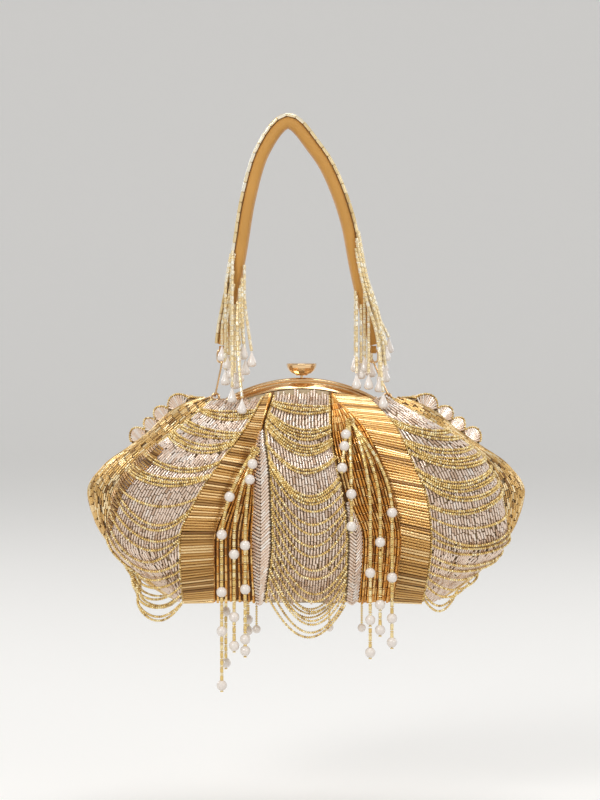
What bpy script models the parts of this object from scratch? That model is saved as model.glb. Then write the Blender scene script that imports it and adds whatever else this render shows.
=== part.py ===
"""A beaded evening bag that hangs by its padded handle.

Metres, +Z up, front towards -Y. The origin is the underside of the handle's crown, where a hand or a
hook holds the bag. The padded body hangs from a two-part arched frame with a push lock, and the handle
clips to rings at the frame's ends.
"""

import math

import bmesh
import bpy
from mathutils import Vector

# Clearances
GAP = 0.0003
SEAM_GAP = 0.0007
SKIN_GAP = 0.0008
NET_GAP = 0.0016
BAND_MARGIN = 0.0012

# Places along X: the sewn body sits a little to the right of its frame
FRAME_X = 0.0084
BODY_X = 0.0112

# Handle strap
STRAP_THICKNESS = 0.008
STRAP_WIDTH = 0.015
STRAP_STEPS = 24
STRAP_ROUTE = (
    (-0.0409, -0.1330), (-0.0341, -0.1020), (-0.0291, -0.0745), (-0.0236, -0.0420), (-0.0149, -0.0136),
    (0.0000, STRAP_THICKNESS / 2),
    (0.0161, -0.0124), (0.0267, -0.0300), (0.0363, -0.0570), (0.0428, -0.0900), (0.0530, -0.1330),
)
STRAP_TAPER_LENGTH = 0.012
STRAP_TIP_WIDTH = 0.009
STRAP_TIP_THICKNESS = 0.0055
FACING_THICKNESS = 0.0014
FACING_MARGIN = 0.0008
STRAP_BEVEL = FACING_MARGIN + 0.0004
ROUTE_STEP = 0.01

# End tabs, oval rings, clips and gates
TAB_WIDTH = 0.0034
TAB_CLOTH = 0.0009
OVAL_WIRE = 0.0006
OVAL_HALF_WIDTH = 0.0028
OVAL_HALF_HEIGHT = 0.0038
OVAL_DROP = 0.0072
CLIP_WIRE = 0.0006
CLIP_HALF_GAP = 0.0024
GATE_WIRE = 0.00045
GATE_STUB = 0.0022
WIRE_SIDES = 5

# Frame of the mouth
RIM_TOP_Z = -0.1535
RIM_RADIUS = 0.092
RIM_HALF_SPAN = 0.0495
ARM_BEND = 0.0017
ARM_X = RIM_HALF_SPAN + ARM_BEND
HINGE_Z = -0.186
RIM_DEPTH = 0.0034
RIM_WIDTH = 0.0038
PLATE_DEPTH = 0.0065
PLATE_FLARE = 0.0066
PLATE_SHEET = 0.0008
PLATE_INSET = 0.0025
PLATE_HALF_SPAN = RIM_HALF_SPAN - PLATE_INSET
KNUCKLE_RADIUS = 0.002
KNUCKLE_LENGTH = 0.002
PIN_RADIUS = 0.0006
PIN_LENGTH = 0.0046
RING_WIRE = 0.0007
RING_RADIUS = 0.0021
RING_X = ARM_X + RING_RADIUS
ARCH_DROP = RIM_RADIUS - math.sqrt(RIM_RADIUS ** 2 - RIM_HALF_SPAN ** 2)
SWING_RISE = 0.00465
SWING_Z = RIM_TOP_Z - ARCH_DROP + SWING_RISE
LUG_SIZE = 0.0030

# Push knob of the lock
KNOB_SIDES = 14
KNOB_TOP_RADIUS = 0.0093
KNOB_FOOT_RADIUS = 0.0037
KNOB_HEIGHT = 0.0075
KNOB_TRAVEL = 0.0012
KNOB_LIFT = KNOB_TRAVEL + GAP
KNOB_Y = -0.0014
STEM_RADIUS = 0.0008
STEM_CLEARANCE = 0.0004
KEEPER_SIZE = 0.004

# Sewn body: (height, half length, half depth) down the outline
MOUTH_REACH = ARM_X + 0.0058
OUTLINE = (
    (-0.1655, MOUTH_REACH, 0.0076), (-0.1700, 0.0710, 0.0140), (-0.1770, 0.0835, 0.0215),
    (-0.1870, 0.0945, 0.0285), (-0.1970, 0.1085, 0.0335), (-0.2080, 0.1240, 0.0375),
    (-0.2240, 0.1345, 0.0400), (-0.2420, 0.1300, 0.0400), (-0.2600, 0.1185, 0.0380),
    (-0.2760, 0.1040, 0.0345), (-0.2900, 0.0840, 0.0290),
)
BASE_Z = -0.290
MOUTH_EDGE_Z = -0.1665
SQUARE_MOUTH = 5.0
ROUND_BODY = 2.1
SQUARE_Z = -0.170
ROUND_Z = -0.200
LOBE_SHEET = 0.0014
INSERT_SHEET = 0.0010
BAND_SHEET = 0.0007
LINING_SHEET = 0.0010
LINING_INSET = 0.0045
LINING_END_INSET = 0.0090
BASE_INSET = 0.0019
BASE_END_INSET = 0.0030
BASE_SHEET = 0.0020
STEEPEST = 0.2
LAST_SHARE = 0.985
SEWN_EDGE = 0.999
LOWER_ROWS = 8
UPPER_ROWS = 3
LOBE_COLUMNS = 8
GORE_COLUMNS = 6
LINING_SIDES = 20
BASE_SIDES = 28

# Embroidered bands beside the pleats
LADDER_TOP_Z = -0.180
LADDER_ROWS = 16
HERRINGBONE_TOP_Z = {"left": -0.203, "right": -0.248}
HERRINGBONE_ROWS = {"left": 14, "right": 7}

# Lobe fullness above the pleats: (height, rise)
LOBE_RISE = ((-0.1600, 0.0010), (-0.1750, 0.0045), (-0.1950, 0.0090), (-0.2300, 0.0105),
             (-0.2650, 0.0090), (-0.2900, 0.0045))

# Seam lines: distance from the body's centre line at each height, as a share of the reach to a tip
SEAM_HEIGHTS = (-0.1655, -0.1840, -0.2040, -0.2260, -0.2500, -0.2900)
SEAMS = {
    "left_gore": (-0.416, -0.572, -0.756, -0.867, -0.890, -0.587),
    "left_lobe": (-0.193, -0.272, -0.378, -0.483, -0.549, -0.535),
    "left_ladder": (-0.172, -0.213, -0.268, -0.360, -0.427, -0.429),
    "left_herringbone": (-0.157, -0.199, -0.226, -0.226, -0.235, -0.223),
    "centre_left": (-0.150, -0.180, -0.161, -0.152, -0.149, -0.184),
    "centre_right": (0.111, 0.106, 0.129, 0.161, 0.180, 0.170),
    "right_herringbone": (0.115, 0.111, 0.136, 0.178, 0.245, 0.230),
    "right_ladder": (0.124, 0.281, 0.355, 0.409, 0.439, 0.406),
    "right_lobe": (0.272, 0.394, 0.465, 0.528, 0.546, 0.506),
    "right_gore": (0.372, 0.610, 0.807, 0.885, 0.907, 0.595),
}
LOBES = {
    "left": ("left_gore", "left_ladder"),
    "centre": ("left_herringbone", "right_herringbone"),
    "right": ("right_ladder", "right_gore"),
}
TIP_REACH = max(length for _, length, _ in OUTLINE)

# Swags: strands of seed beads hung in curves across each lobe
SWAG_FIELDS = {
    "left": ("left_gore", "left_lobe"),
    "centre": ("centre_left", "centre_right"),
    "right": ("right_lobe", "right_gore"),
}
SWAG_COUNT = 6
SWAG_TOP_Z = -0.176
SWAG_SAG_TOP = 0.006
SWAG_SAG_BASE = 0.022
SWAG_STRAND = 0.0022
SWAG_COLUMNS = 8
HANG_Z = -0.272
SEWN_ANGLE = 1.0

# Beads
PEARL_RADIUS = 0.0032
STRAND_RADIUS = 0.0010
DROP_RADIUS = 0.0027
DROP_LENGTH = 0.0085
STRAND_SIDES = 4
STRAND_TWIST = 0.35

# Pleat fringes: where the knot sits, then each strand's foot (x, z) and the heights of its pearls
KNOT_SIZE = 0.0044
KNOT_PITCH = 0.0007
FRINGE_SWING_OUT = 0.055
FRINGE_HANG_Z = -0.232
KNOTS = {"left": (-0.0198, -0.1960), "right": (0.0381, -0.1792)}
STRANDS = {
    "left": (
        ((-0.0400, -0.3420), (-0.2237, -0.2462, -0.2815, -0.3050, -0.3387)),
        ((-0.0258, -0.3205), (-0.2040, -0.2133, -0.2530, -0.2800, -0.3100, -0.3175)),
        ((-0.0325, -0.3175), (-0.2590, -0.2965, -0.3142)),
    ),
    "right": (
        ((0.0316, -0.2095), (-0.1866, -0.1935, -0.2062)),
        ((0.0385, -0.2445), (-0.2220, -0.2412)),
        ((0.0632, -0.3158), (-0.2337, -0.2725, -0.2976, -0.3125)),
        ((0.0560, -0.3080), (-0.2517, -0.2895, -0.3047)),
        ((0.0500, -0.3220), (-0.2703, -0.2988, -0.3187)),
    ),
}

REAR_STRANDS = 2

# Strap fringes: height of the collar on the strap, then the foot of each strand
COLLAR_HEIGHT = 0.012
COLLAR_SHEET = 0.0014
STRAND_START_SHARE = 0.4
STRAND_START_LOW = 0.35
COLLAR_Z = {"left": -0.0780, "right": -0.0700}
DROP_FEET = {
    "left": (
        (-0.0273, -0.0112, -0.1416), (-0.0223, -0.0112, -0.1466), (-0.0384, -0.0135, -0.1578),
        (-0.0298, -0.0135, -0.1560), (-0.0341, -0.0215, -0.1683), (-0.0279, -0.0285, -0.1745),
        (-0.0280, 0.0112, -0.1430), (-0.0370, 0.0114, -0.1500),
    ),
    "right": (
        (0.0415, -0.0112, -0.1497), (0.0471, -0.0116, -0.1497), (0.0422, -0.0165, -0.1600),
        (0.0496, -0.0170, -0.1602), (0.0626, 0.0005, -0.1385), (0.0600, -0.0140, -0.1559),
        (0.0583, -0.0245, -0.1714), (0.0425, 0.0112, -0.1480), (0.0520, 0.0114, -0.1540),
    ),
}

# Ruffles at the rear shoulders
RUFFLE_PETALS = 4
RUFFLE_RISE = 0.0046
RUFFLE_REACH = (0.12, 0.84)
RUFFLE_FLAT = 0.6
RUFFLE_SHEET = 0.0012
RUFFLE_SPAN = (-0.1695, -0.1960)

COLOURS = {
    "satin": ((0.66, 0.42, 0.13), 0.55, 0.0),
    "gold_metal": ((0.83, 0.60, 0.33), 0.18, 1.0),
    "silver_beads": ((0.74, 0.68, 0.62), 0.25, 0.3),
    "gold_beads": ((0.76, 0.56, 0.20), 0.30, 0.4),
    "bronze_beads": ((0.45, 0.29, 0.10), 0.30, 0.4),
    "pearls": ((0.90, 0.84, 0.80), 0.25, 0.0),
    "lining_cloth": ((0.62, 0.45, 0.22), 0.80, 0.0),
}


def clear_scene():
    for item in list(bpy.data.objects):
        bpy.data.objects.remove(item, do_unlink=True)


def material(name):
    """One Principled material for each finish, shared by the pieces that have it."""
    found = bpy.data.materials.get(name)
    if found:
        return found
    colour, roughness, metallic = COLOURS[name]
    made = bpy.data.materials.new(name)
    made.use_nodes = True
    shader = made.node_tree.nodes["Principled BSDF"]
    shader.inputs["Base Color"].default_value = (*colour, 1.0)
    shader.inputs["Roughness"].default_value = roughness
    shader.inputs["Metallic"].default_value = metallic
    return made


def finish(name, bm, slot, smooth=True, pivot=(0.0, 0.0, 0.0)):
    """Turn a bmesh into a named object whose origin is its pivot."""
    bmesh.ops.recalc_face_normals(bm, faces=bm.faces)
    if bm.calc_volume(signed=True) < 0:
        bmesh.ops.reverse_faces(bm, faces=bm.faces)
    bmesh.ops.translate(bm, verts=bm.verts, vec=-Vector(pivot))
    mesh = bpy.data.meshes.new(name)
    bm.to_mesh(mesh)
    bm.free()
    if smooth:
        mesh.shade_smooth()
        mesh.set_sharp_from_angle(angle=math.radians(40))
    item = bpy.data.objects.new(name, mesh)
    item.location = pivot
    item.data.materials.append(material(slot))
    bpy.context.collection.objects.link(item)
    return item


def combine(item, other, operation):
    """Apply an exact boolean of other on item and drop other."""
    modifier = item.modifiers.new(operation.lower(), "BOOLEAN")
    modifier.operation = operation
    modifier.solver = "EXACT"
    modifier.object = other
    graph = bpy.context.evaluated_depsgraph_get()
    mesh = bpy.data.meshes.new_from_object(item.evaluated_get(graph))
    item.modifiers.clear()
    item.data = mesh
    bpy.data.objects.remove(other, do_unlink=True)
    return item


def blend(low, high, share):
    return low + (high - low) * share


def read_curve(points, at, column=1):
    """Smooth value of a column of points at a place along their first column, without overshoot."""
    rows = sorted(points)
    places = [row[0] for row in rows]
    values = [row[column] for row in rows]
    at = min(max(at, places[0]), places[-1])
    step = next(i for i in range(len(places) - 1) if at <= places[i + 1])
    slopes = [(values[i + 1] - values[i]) / (places[i + 1] - places[i]) for i in range(len(places) - 1)]

    def tangent(i):
        if i in (0, len(slopes)):
            return slopes[min(i, len(slopes) - 1)]
        before, after = slopes[i - 1], slopes[i]
        return 0.0 if before * after <= 0 else 2 * before * after / (before + after)

    width = places[step + 1] - places[step]
    t = (at - places[step]) / width
    return ((1 + 2 * t) * (1 - t) ** 2 * values[step] + t * (1 - t) ** 2 * width * tangent(step)
            + t * t * (3 - 2 * t) * values[step + 1] + t * t * (t - 1) * width * tangent(step + 1))


def spline_point(points, t):
    """Point on a smooth curve through the given points, t from 0 to 1."""
    last = len(points) - 1
    place = min(max(t, 0.0), 1.0) * last
    i = min(int(place), last - 1)
    f = place - i
    p1, p2 = Vector(points[i]), Vector(points[i + 1])
    p0 = Vector(points[i - 1]) if i else p1 * 2 - p2
    p3 = Vector(points[i + 2]) if i + 2 <= last else p2 * 2 - p1
    return 0.5 * (2 * p1 + (p2 - p0) * f + (2 * p0 - 5 * p1 + 4 * p2 - p3) * f ** 2
                  + (3 * p1 - p0 - 3 * p2 + p3) * f ** 3)


# The body's surface

def centre_x(z):
    share = min(max((MOUTH_EDGE_Z - z) / (MOUTH_EDGE_Z - ROUND_Z), 0.0), 1.0)
    return blend(FRAME_X, BODY_X, share)


def roundness(z):
    share = min(max((SQUARE_Z - z) / (SQUARE_Z - ROUND_Z), 0.0), 1.0)
    return blend(SQUARE_MOUTH, ROUND_BODY, share)


def body_point(angle, z):
    """Point of the pleat-level surface. Angle 0 is the front's middle, 90 degrees the right tip."""
    power = roundness(z)
    x = math.sin(angle) * read_curve(OUTLINE, z, 1)
    reach = max(1 - abs(math.sin(angle)) ** power, 0.0) ** (1 / power)
    y = math.copysign(reach, math.cos(angle)) * read_curve(OUTLINE, z, 2)
    return Vector((centre_x(z) + x, -y, z))


def angle_at(x, z):
    """Front angle at which the surface crosses a height at a given x."""
    share = (x - centre_x(z)) / read_curve(OUTLINE, z, 1)
    return math.asin(min(max(share, -LAST_SHARE), LAST_SHARE))


def seam_angle(name, z, shift=0.0):
    """Angle at which a seam, moved sideways by a distance, crosses a height."""
    return angle_at(BODY_X + shift + TIP_REACH * read_curve(tuple(zip(SEAM_HEIGHTS, SEAMS[name])), z), z)


def lobe_rise(angle, z):
    """How far the padding lifts the surface above the pleats at a front angle."""
    for left, right in LOBES.values():
        low, high = seam_angle(left, z), seam_angle(right, z)
        if low < angle < high:
            across = 2 * (angle - low) / (high - low) - 1
            return read_curve(LOBE_RISE, z) * (1 - across ** 4)
    return 0.0


def skin_point(angle, z):
    """Point of the padded surface on the front."""
    base = body_point(angle, z)
    half_length, depth = read_curve(OUTLINE, z, 1), read_curve(OUTLINE, z, 2)
    lift = Vector((math.sin(angle) / half_length, -math.cos(angle) / depth, 0.0)).normalized()
    return base + lift * lobe_rise(angle, z)


def skin(angle, z, proud=0.0, side="front"):
    """Point at a height, a true distance proud of the padded surface, on the front or the rear."""
    point = skin_point(angle, z)
    if proud:
        turn, drop = 0.01, 0.0015
        low, high = max(z - drop, BASE_Z), min(z + drop, RIM_TOP_Z)
        along = skin_point(angle + turn, z) - skin_point(angle - turn, z)
        down = skin_point(angle, low) - skin_point(angle, high)
        normal = down.cross(along).normalized()
        level = Vector((normal.x, normal.y, 0.0))
        point = point + level * (proud / max(level.length_squared, STEEPEST))
    return point if side == "front" else Vector((point.x, -point.y, point.z))


def rim_drop(x):
    """Height of the rim's arch below its top at a distance from the frame's centre."""
    reach = min(abs(x), RIM_HALF_SPAN)
    return RIM_RADIUS - math.sqrt(RIM_RADIUS ** 2 - reach ** 2)


def plate_depth(x):
    """Depth of the face plate below the rim's top at a distance from the frame's centre."""
    share = min(abs(x) / PLATE_HALF_SPAN, 1.0)
    return blend(PLATE_DEPTH, RIM_DEPTH, share ** 4)


def mouth_z(angle):
    """Upper edge of the cloth: just under the face plate, then level beyond the frame."""
    x = body_point(angle, MOUTH_EDGE_Z).x - FRAME_X
    return max(RIM_TOP_Z - rim_drop(x) - plate_depth(x) - GAP, MOUTH_EDGE_Z)


# Pieces made of sheet

def sheet(name, columns, rows, place, thickness, slot, window=None):
    """A grid laid on a surface and given thickness inwards; window(column, row) leaves cells out.

    place(u, v, inward) gives a point for u and v from -1 to 1, at a depth below the outer face.
    """
    bm = bmesh.new()
    bmesh.ops.create_grid(bm, x_segments=columns, y_segments=rows, size=1)
    if window:
        gone = []
        for face in bm.faces:
            middle = face.calc_center_median()
            column = round((middle.x + 1) * columns / 2 - 0.5)
            row = round((middle.y + 1) * rows / 2 - 0.5)
            if window(column, row):
                gone.append(face)
        bmesh.ops.delete(bm, geom=gone, context="FACES")
    made = bmesh.ops.extrude_face_region(bm, geom=bm.faces[:], use_keep_orig=True)
    for item in made["geom"]:
        if isinstance(item, bmesh.types.BMVert):
            item.co.z = 1.0
    for vert in bm.verts:
        vert.co = place(vert.co.x, vert.co.y, thickness * vert.co.z)
    return finish(name, bm, slot)


def between(left, right, z, across, side, margin=SEAM_GAP / 2):
    """Angle at a share across two seams, kept a margin clear of both, mirrored round for the rear."""
    if side == "rear":
        across = -across
    return blend(seam_angle(left, z, margin), seam_angle(right, z, -margin), (across + 1) / 2)


def row_height(share, top):
    """Height at a share of a full-height sheet, with the same rows on every such sheet."""
    row = share * (LOWER_ROWS + UPPER_ROWS)
    if row <= LOWER_ROWS:
        return blend(BASE_Z, HINGE_Z, row / LOWER_ROWS)
    return blend(HINGE_Z, top, (row - LOWER_ROWS) / UPPER_ROWS)


def panel(name, seams, side, heights, columns, rows, thickness, slot, proud=0.0, ridge=0.0,
          margin=SEAM_GAP / 2):
    """Sheet between two seams. heights(share, top) gives each row; top is the mouth's edge there."""
    def place(u, v, inward):
        share = (v + 1) / 2
        z = heights(share, mouth_z(between(*seams, MOUTH_EDGE_Z, u, side, margin)))
        lift = proud - inward + (ridge if round(share * rows) % 2 else 0.0)
        return skin(between(*seams, z, u, side, margin), z, lift, side)

    return sheet(name, columns, rows, place, thickness, slot)


def swag_net(name, lobe, side):
    """Curved strands joined to a tape at each edge of the lobe, hanging free below the body."""
    seams = SWAG_FIELDS[lobe]
    rows = 4 * (SWAG_COUNT - 1) + 1

    def strand_z(index, across):
        share = index / (SWAG_COUNT - 1)
        end = blend(BASE_Z, SWAG_TOP_Z, share)
        return end - blend(SWAG_SAG_BASE, SWAG_SAG_TOP, math.sqrt(share)) * (1 - across ** 2)

    def place(u, v, inward):
        index, part = divmod(round((v + 1) / 2 * rows), 4)
        z = strand_z(index, u)
        if part:
            upper = z + SWAG_STRAND
            z = blend(upper, strand_z(index + 1, u), (part - 1) / 3) if part > 1 else upper
        held = max(z, HANG_Z)
        angle = between(*seams, held, u, side, 2 * SEAM_GAP)
        clear = SKIN_GAP if abs(u) > SEWN_EDGE and abs(angle) < SEWN_ANGLE else NET_GAP
        point = skin(angle, held, clear + BAND_SHEET - inward, side)
        return Vector((point.x, point.y, z))

    def window(column, row):
        return row % 4 != 0 and 0 < column < SWAG_COLUMNS - 1

    return sheet(name, SWAG_COLUMNS, rows, place, BAND_SHEET, "gold_beads", window)


def make_panels():
    """Lobes, pleat inserts and embroidered bands of one side after the other."""
    full = LOWER_ROWS + UPPER_ROWS
    for lobe, seams in LOBES.items():
        panel("front_lobe_" + lobe, seams, "front", lambda share, top: blend(BASE_Z, HINGE_Z - GAP, share),
              LOBE_COLUMNS, LOWER_ROWS, LOBE_SHEET, "silver_beads")
        panel("front_lobe_top_" + lobe, seams, "front", lambda share, top: blend(HINGE_Z, top, share),
              LOBE_COLUMNS, UPPER_ROWS, LOBE_SHEET, "silver_beads")
        panel("rear_lobe_" + lobe, seams, "rear", row_height, LOBE_COLUMNS, full, LOBE_SHEET, "silver_beads")
    proud, ridge = SKIN_GAP + BAND_SHEET, BAND_SHEET / 2
    for side in ("front", "rear"):
        panel(side + "_pleat_insert_left", ("left_ladder", "left_herringbone"), side, row_height, 2, full,
              INSERT_SHEET, "gold_beads")
        panel(side + "_pleat_insert_right", ("right_herringbone", "right_ladder"), side, row_height, 3, full,
              INSERT_SHEET, "gold_beads")
        for name, seams, columns in (("left", ("left_lobe", "left_ladder"), 2),
                                     ("right", ("right_ladder", "right_lobe"), 3)):
            panel(side + "_ladder_band_" + name, seams, side,
                  lambda share, top: blend(BASE_Z, LADDER_TOP_Z, share),
                  columns, LADDER_ROWS, BAND_SHEET, "gold_beads", proud, ridge, BAND_MARGIN)
        for name, seams in (("left", ("left_herringbone", "centre_left")),
                            ("right", ("centre_right", "right_herringbone"))):
            panel(side + "_herringbone_" + name, seams, side,
                  lambda share, top: blend(BASE_Z, HERRINGBONE_TOP_Z[name], share),
                  1, HERRINGBONE_ROWS[name], BAND_SHEET, "silver_beads", proud, ridge, BAND_MARGIN)
        for lobe in LOBES:
            swag_net(side + "_swags_" + lobe, lobe, side)


def make_gore(side):
    """End gore round one tip, from the front seam to the rear seam."""
    seam = side + "_gore"
    hand = -1 if side == "left" else 1

    def place(u, v, inward):
        z = row_height((v + 1) / 2, MOUTH_EDGE_Z)
        start = abs(seam_angle(seam, z, hand * GAP / 2))
        turn = blend(start, math.pi - start, (u * hand + 1) / 2)
        return skin(hand * turn, z, -inward)

    return sheet("end_gore_" + side, GORE_COLUMNS, LOWER_ROWS + UPPER_ROWS, place, LOBE_SHEET, "bronze_beads")


def make_ruffle(side):
    """Row of gathered petals on the gore, along the rear of the shoulder."""
    hand = -1 if side == "left" else 1

    def place(u, v, inward):
        z = blend(RUFFLE_SPAN[1], RUFFLE_SPAN[0], (v + 1) / 2)
        start = abs(seam_angle(side + "_gore", z))
        share = blend(*RUFFLE_REACH, (1 + u * hand) / 2)
        wave = abs(math.sin(math.pi * RUFFLE_PETALS * (v + 1) / 2))
        lift = RUFFLE_SHEET + SKIN_GAP + RUFFLE_RISE * wave * (1 - u * u * RUFFLE_FLAT)
        return skin(hand * blend(start, math.pi / 2, share), z, lift - inward, "rear")

    return sheet("rear_ruffle_" + side, 4, 4 * RUFFLE_PETALS, place, RUFFLE_SHEET, "silver_beads")


def ring_of(z, inset, end_inset, count):
    """Closed row of points round the body at one height, inside its surface by one inset a way."""
    points = []
    for i in range(count):
        angle = 2 * math.pi * i / count
        point = body_point(angle, z)
        middle = Vector((centre_x(z), 0.0, z))
        away = (point - middle)
        shrink = Vector((away.x * (1 - end_inset / read_curve(OUTLINE, z, 1)),
                         away.y * (1 - inset / read_curve(OUTLINE, z, 2)), 0.0))
        points.append(middle + shrink)
    return points


def loft(name, rings, slot, smooth=True, pivot=(0.0, 0.0, 0.0)):
    """Solid skinned over rows of points, with its two end rows filled."""
    bm = bmesh.new()
    loops = [[bm.verts.new(point) for point in ring] for ring in rings]
    for first, second in zip(loops, loops[1:]):
        for i in range(len(first)):
            bm.faces.new((first[i - 1], first[i], second[i], second[i - 1]))
    bm.faces.new(loops[0])
    bm.faces.new(list(reversed(loops[-1])))
    return finish(name, bm, slot, smooth, pivot)


def make_lining():
    """Cloth bag inside the body, open at the hinge line."""
    top, floor = HINGE_Z - 0.0026, BASE_Z + BASE_SHEET + 2 * GAP
    heights = [blend(top, floor, i / 5) for i in range(6)]
    outer = [ring_of(z, LINING_INSET, LINING_END_INSET, LINING_SIDES) for z in heights]
    inner = [ring_of(max(z, floor + LINING_SHEET), LINING_INSET + LINING_SHEET,
                     LINING_END_INSET + LINING_SHEET, LINING_SIDES) for z in reversed(heights)]
    bm = bmesh.new()
    loops = [[bm.verts.new(point) for point in ring] for ring in inner + outer]
    for first, second in zip(loops, loops[1:]):
        for i in range(len(first)):
            bm.faces.new((first[i - 1], first[i], second[i], second[i - 1]))
    bm.faces.new(loops[0])
    bm.faces.new(list(reversed(loops[-1])))
    return finish("lining", bm, "lining_cloth")


def make_base():
    """Stiff flat panel that closes the body's underside."""
    rings = [ring_of(BASE_Z, BASE_INSET, BASE_END_INSET, BASE_SIDES) for _ in range(2)]
    for point in rings[1]:
        point.z = BASE_Z + BASE_SHEET
    return loft("base_panel", rings, "gold_beads", smooth=False)


# Wire and strand pieces

def tube_rings(points, radii, sides, twist=0.0):
    """Rows of points round a path; the section keeps a steady reference direction."""
    rings = []
    for i, point in enumerate(points):
        before = points[max(i - 1, 0)]
        after = points[min(i + 1, len(points) - 1)]
        along = (Vector(after) - Vector(before)).normalized()
        reference = Vector((0, 1, 0)) if abs(along.y) < 0.9 else Vector((1, 0, 0))
        across = along.cross(reference).normalized()
        up = across.cross(along)
        ring = []
        for k in range(sides):
            turn = 2 * math.pi * k / sides + twist
            ring.append(Vector(point) + (across * math.cos(turn) + up * math.sin(turn)) * radii[i])
        rings.append(ring)
    return rings


def tube(name, points, radius, sides, slot):
    return loft(name, tube_rings(points, [radius] * len(points), sides), slot)


def closed_tube(name, points, radius, sides, slot, normal):
    """Wire bent into a flat closed loop; normal is the loop plane's."""
    bm = bmesh.new()
    count = len(points)
    loops = []
    for i in range(count):
        along = (Vector(points[(i + 1) % count]) - Vector(points[i - 1])).normalized()
        across = along.cross(Vector(normal)).normalized()
        loops.append([bm.verts.new(Vector(points[i]) + (across * math.cos(2 * math.pi * k / sides)
                      + Vector(normal) * math.sin(2 * math.pi * k / sides)) * radius) for k in range(sides)])
    for i in range(count):
        first, second = loops[i - 1], loops[i]
        for k in range(sides):
            bm.faces.new((first[k - 1], first[k], second[k], second[k - 1]))
    return finish(name, bm, slot)


def strand(name, route, pearls, slot, twist, drop=False):
    """One bead strand down a route, swelling at each pearl's height, or at the drop on its end."""
    top, foot = route(0.0).z, route(1.0).z
    span = top - foot
    stations = [(share / 5, STRAND_RADIUS) for share in range(5)]
    for z in pearls:
        share, half = (top - z) / span, PEARL_RADIUS / span
        stations = [s for s in stations if abs(s[0] - share) > 1.6 * half]
        stations += [(share - half, STRAND_RADIUS), (share - half * 0.45, PEARL_RADIUS * 0.9),
                     (share + half * 0.45, PEARL_RADIUS * 0.9), (share + half, STRAND_RADIUS)]
    if drop:
        length = DROP_LENGTH / span
        stations += [(1 - length, STRAND_RADIUS), (1 - length * 0.35, DROP_RADIUS),
                     (1 - length * 0.08, DROP_RADIUS * 0.7)]
    stations = sorted(s for s in stations if s[0] < SEWN_EDGE) + [(1.0, STRAND_RADIUS * 0.8)]
    points = [route(share) for share, _ in stations]
    return loft(name, tube_rings(points, [radius for _, radius in stations], STRAND_SIDES, twist), slot)


def box(name, low, high, slot):
    """Plain block between two corners."""
    rings = [[(low[0], low[1], z), (high[0], low[1], z), (high[0], high[1], z), (low[0], high[1], z)]
             for z in (low[2], high[2])]
    return loft(name, rings, slot, smooth=False)


def rod(name, start, end, radius, sides, slot):
    return tube(name, [Vector(start), Vector(end)], radius, sides, slot)


def turned(name, centre, profile, sides, slot, smooth=True, pivot=(0.0, 0.0, 0.0)):
    """Solid of revolution about a vertical axis; the profile is (radius, height) from foot to top."""
    x, y, z = centre
    rings = [[(x + radius * math.cos(2 * math.pi * k / sides), y + radius * math.sin(2 * math.pi * k / sides),
               z + height) for k in range(sides)] for radius, height in profile]
    return loft(name, rings, slot, smooth, pivot)


# Handle

def strap_frame(t):
    """Centre, outward normal and distance to the nearer end at a share of the strap's route."""
    x, z = spline_point(STRAP_ROUTE, t)
    ahead, behind = spline_point(STRAP_ROUTE, t + ROUTE_STEP), spline_point(STRAP_ROUTE, t - ROUTE_STEP)
    along = (ahead - behind).normalized()
    centre = Vector((x, 0.0, z))
    ends = [Vector((p[0], 0.0, p[1])) for p in (STRAP_ROUTE[0], STRAP_ROUTE[-1])]
    return centre, Vector((-along.y, 0.0, along.x)), min((centre - end).length for end in ends)


def strap_size(distance):
    """Half width and half thickness of the strap, narrowing towards its ends."""
    share = min(distance / STRAP_TAPER_LENGTH, 1.0)
    return (blend(STRAP_TIP_WIDTH, STRAP_WIDTH, share) / 2,
            blend(STRAP_TIP_THICKNESS, STRAP_THICKNESS, share) / 2)


def strap_share_at(z, side):
    """Share of the route at which one leg of the strap passes a height."""
    shares = [i / 400 for i in range(201)]
    if side == "right":
        shares = [1 - share for share in shares]
    return min(shares, key=lambda share: abs(strap_frame(share)[0].z - z))


def strap_row(t, corners):
    """Section of something that follows the strap; corners gives (across, outward) for a strap size."""
    centre, outward, distance = strap_frame(t)
    return [centre + outward * out + Vector((0, across, 0)) for across, out in corners(*strap_size(distance))]


def make_strap():
    bevel = STRAP_BEVEL

    def corners(half, thick):
        return ((-half, bevel - thick), (-half, thick - bevel), (bevel - half, thick), (half - bevel, thick),
                (half, thick - bevel), (half, bevel - thick), (half - bevel, -thick), (bevel - half, -thick))

    rows = [strap_row(i / STRAP_STEPS, corners) for i in range(STRAP_STEPS + 1)]
    loft("handle_strap", rows, "satin")


def make_facing():
    def corners(half, thick):
        inner, outer = thick + GAP, thick + GAP + FACING_THICKNESS
        edge = half - STRAP_BEVEL
        return ((-edge, inner), (-edge, outer), (edge, outer), (edge, inner))

    rows = [strap_row(i / STRAP_STEPS, corners) for i in range(STRAP_STEPS + 1)]
    loft("handle_facing", rows, "silver_beads")


def strap_end(side):
    x, z = STRAP_ROUTE[0 if side == "left" else -1]
    return Vector((x, 0.0, z))


def oval_centre(side):
    return strap_end(side) - Vector((0, 0, OVAL_DROP))


def oval_point(side, angle, power=3.5):
    """Point of the oval ring, whose top and foot are nearly straight."""
    reach = 2 / power
    x = math.copysign(abs(math.cos(angle)) ** reach, math.cos(angle)) * OVAL_HALF_WIDTH
    z = math.copysign(abs(math.sin(angle)) ** reach, math.sin(angle)) * OVAL_HALF_HEIGHT
    return oval_centre(side) + Vector((x, 0, z))


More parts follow.
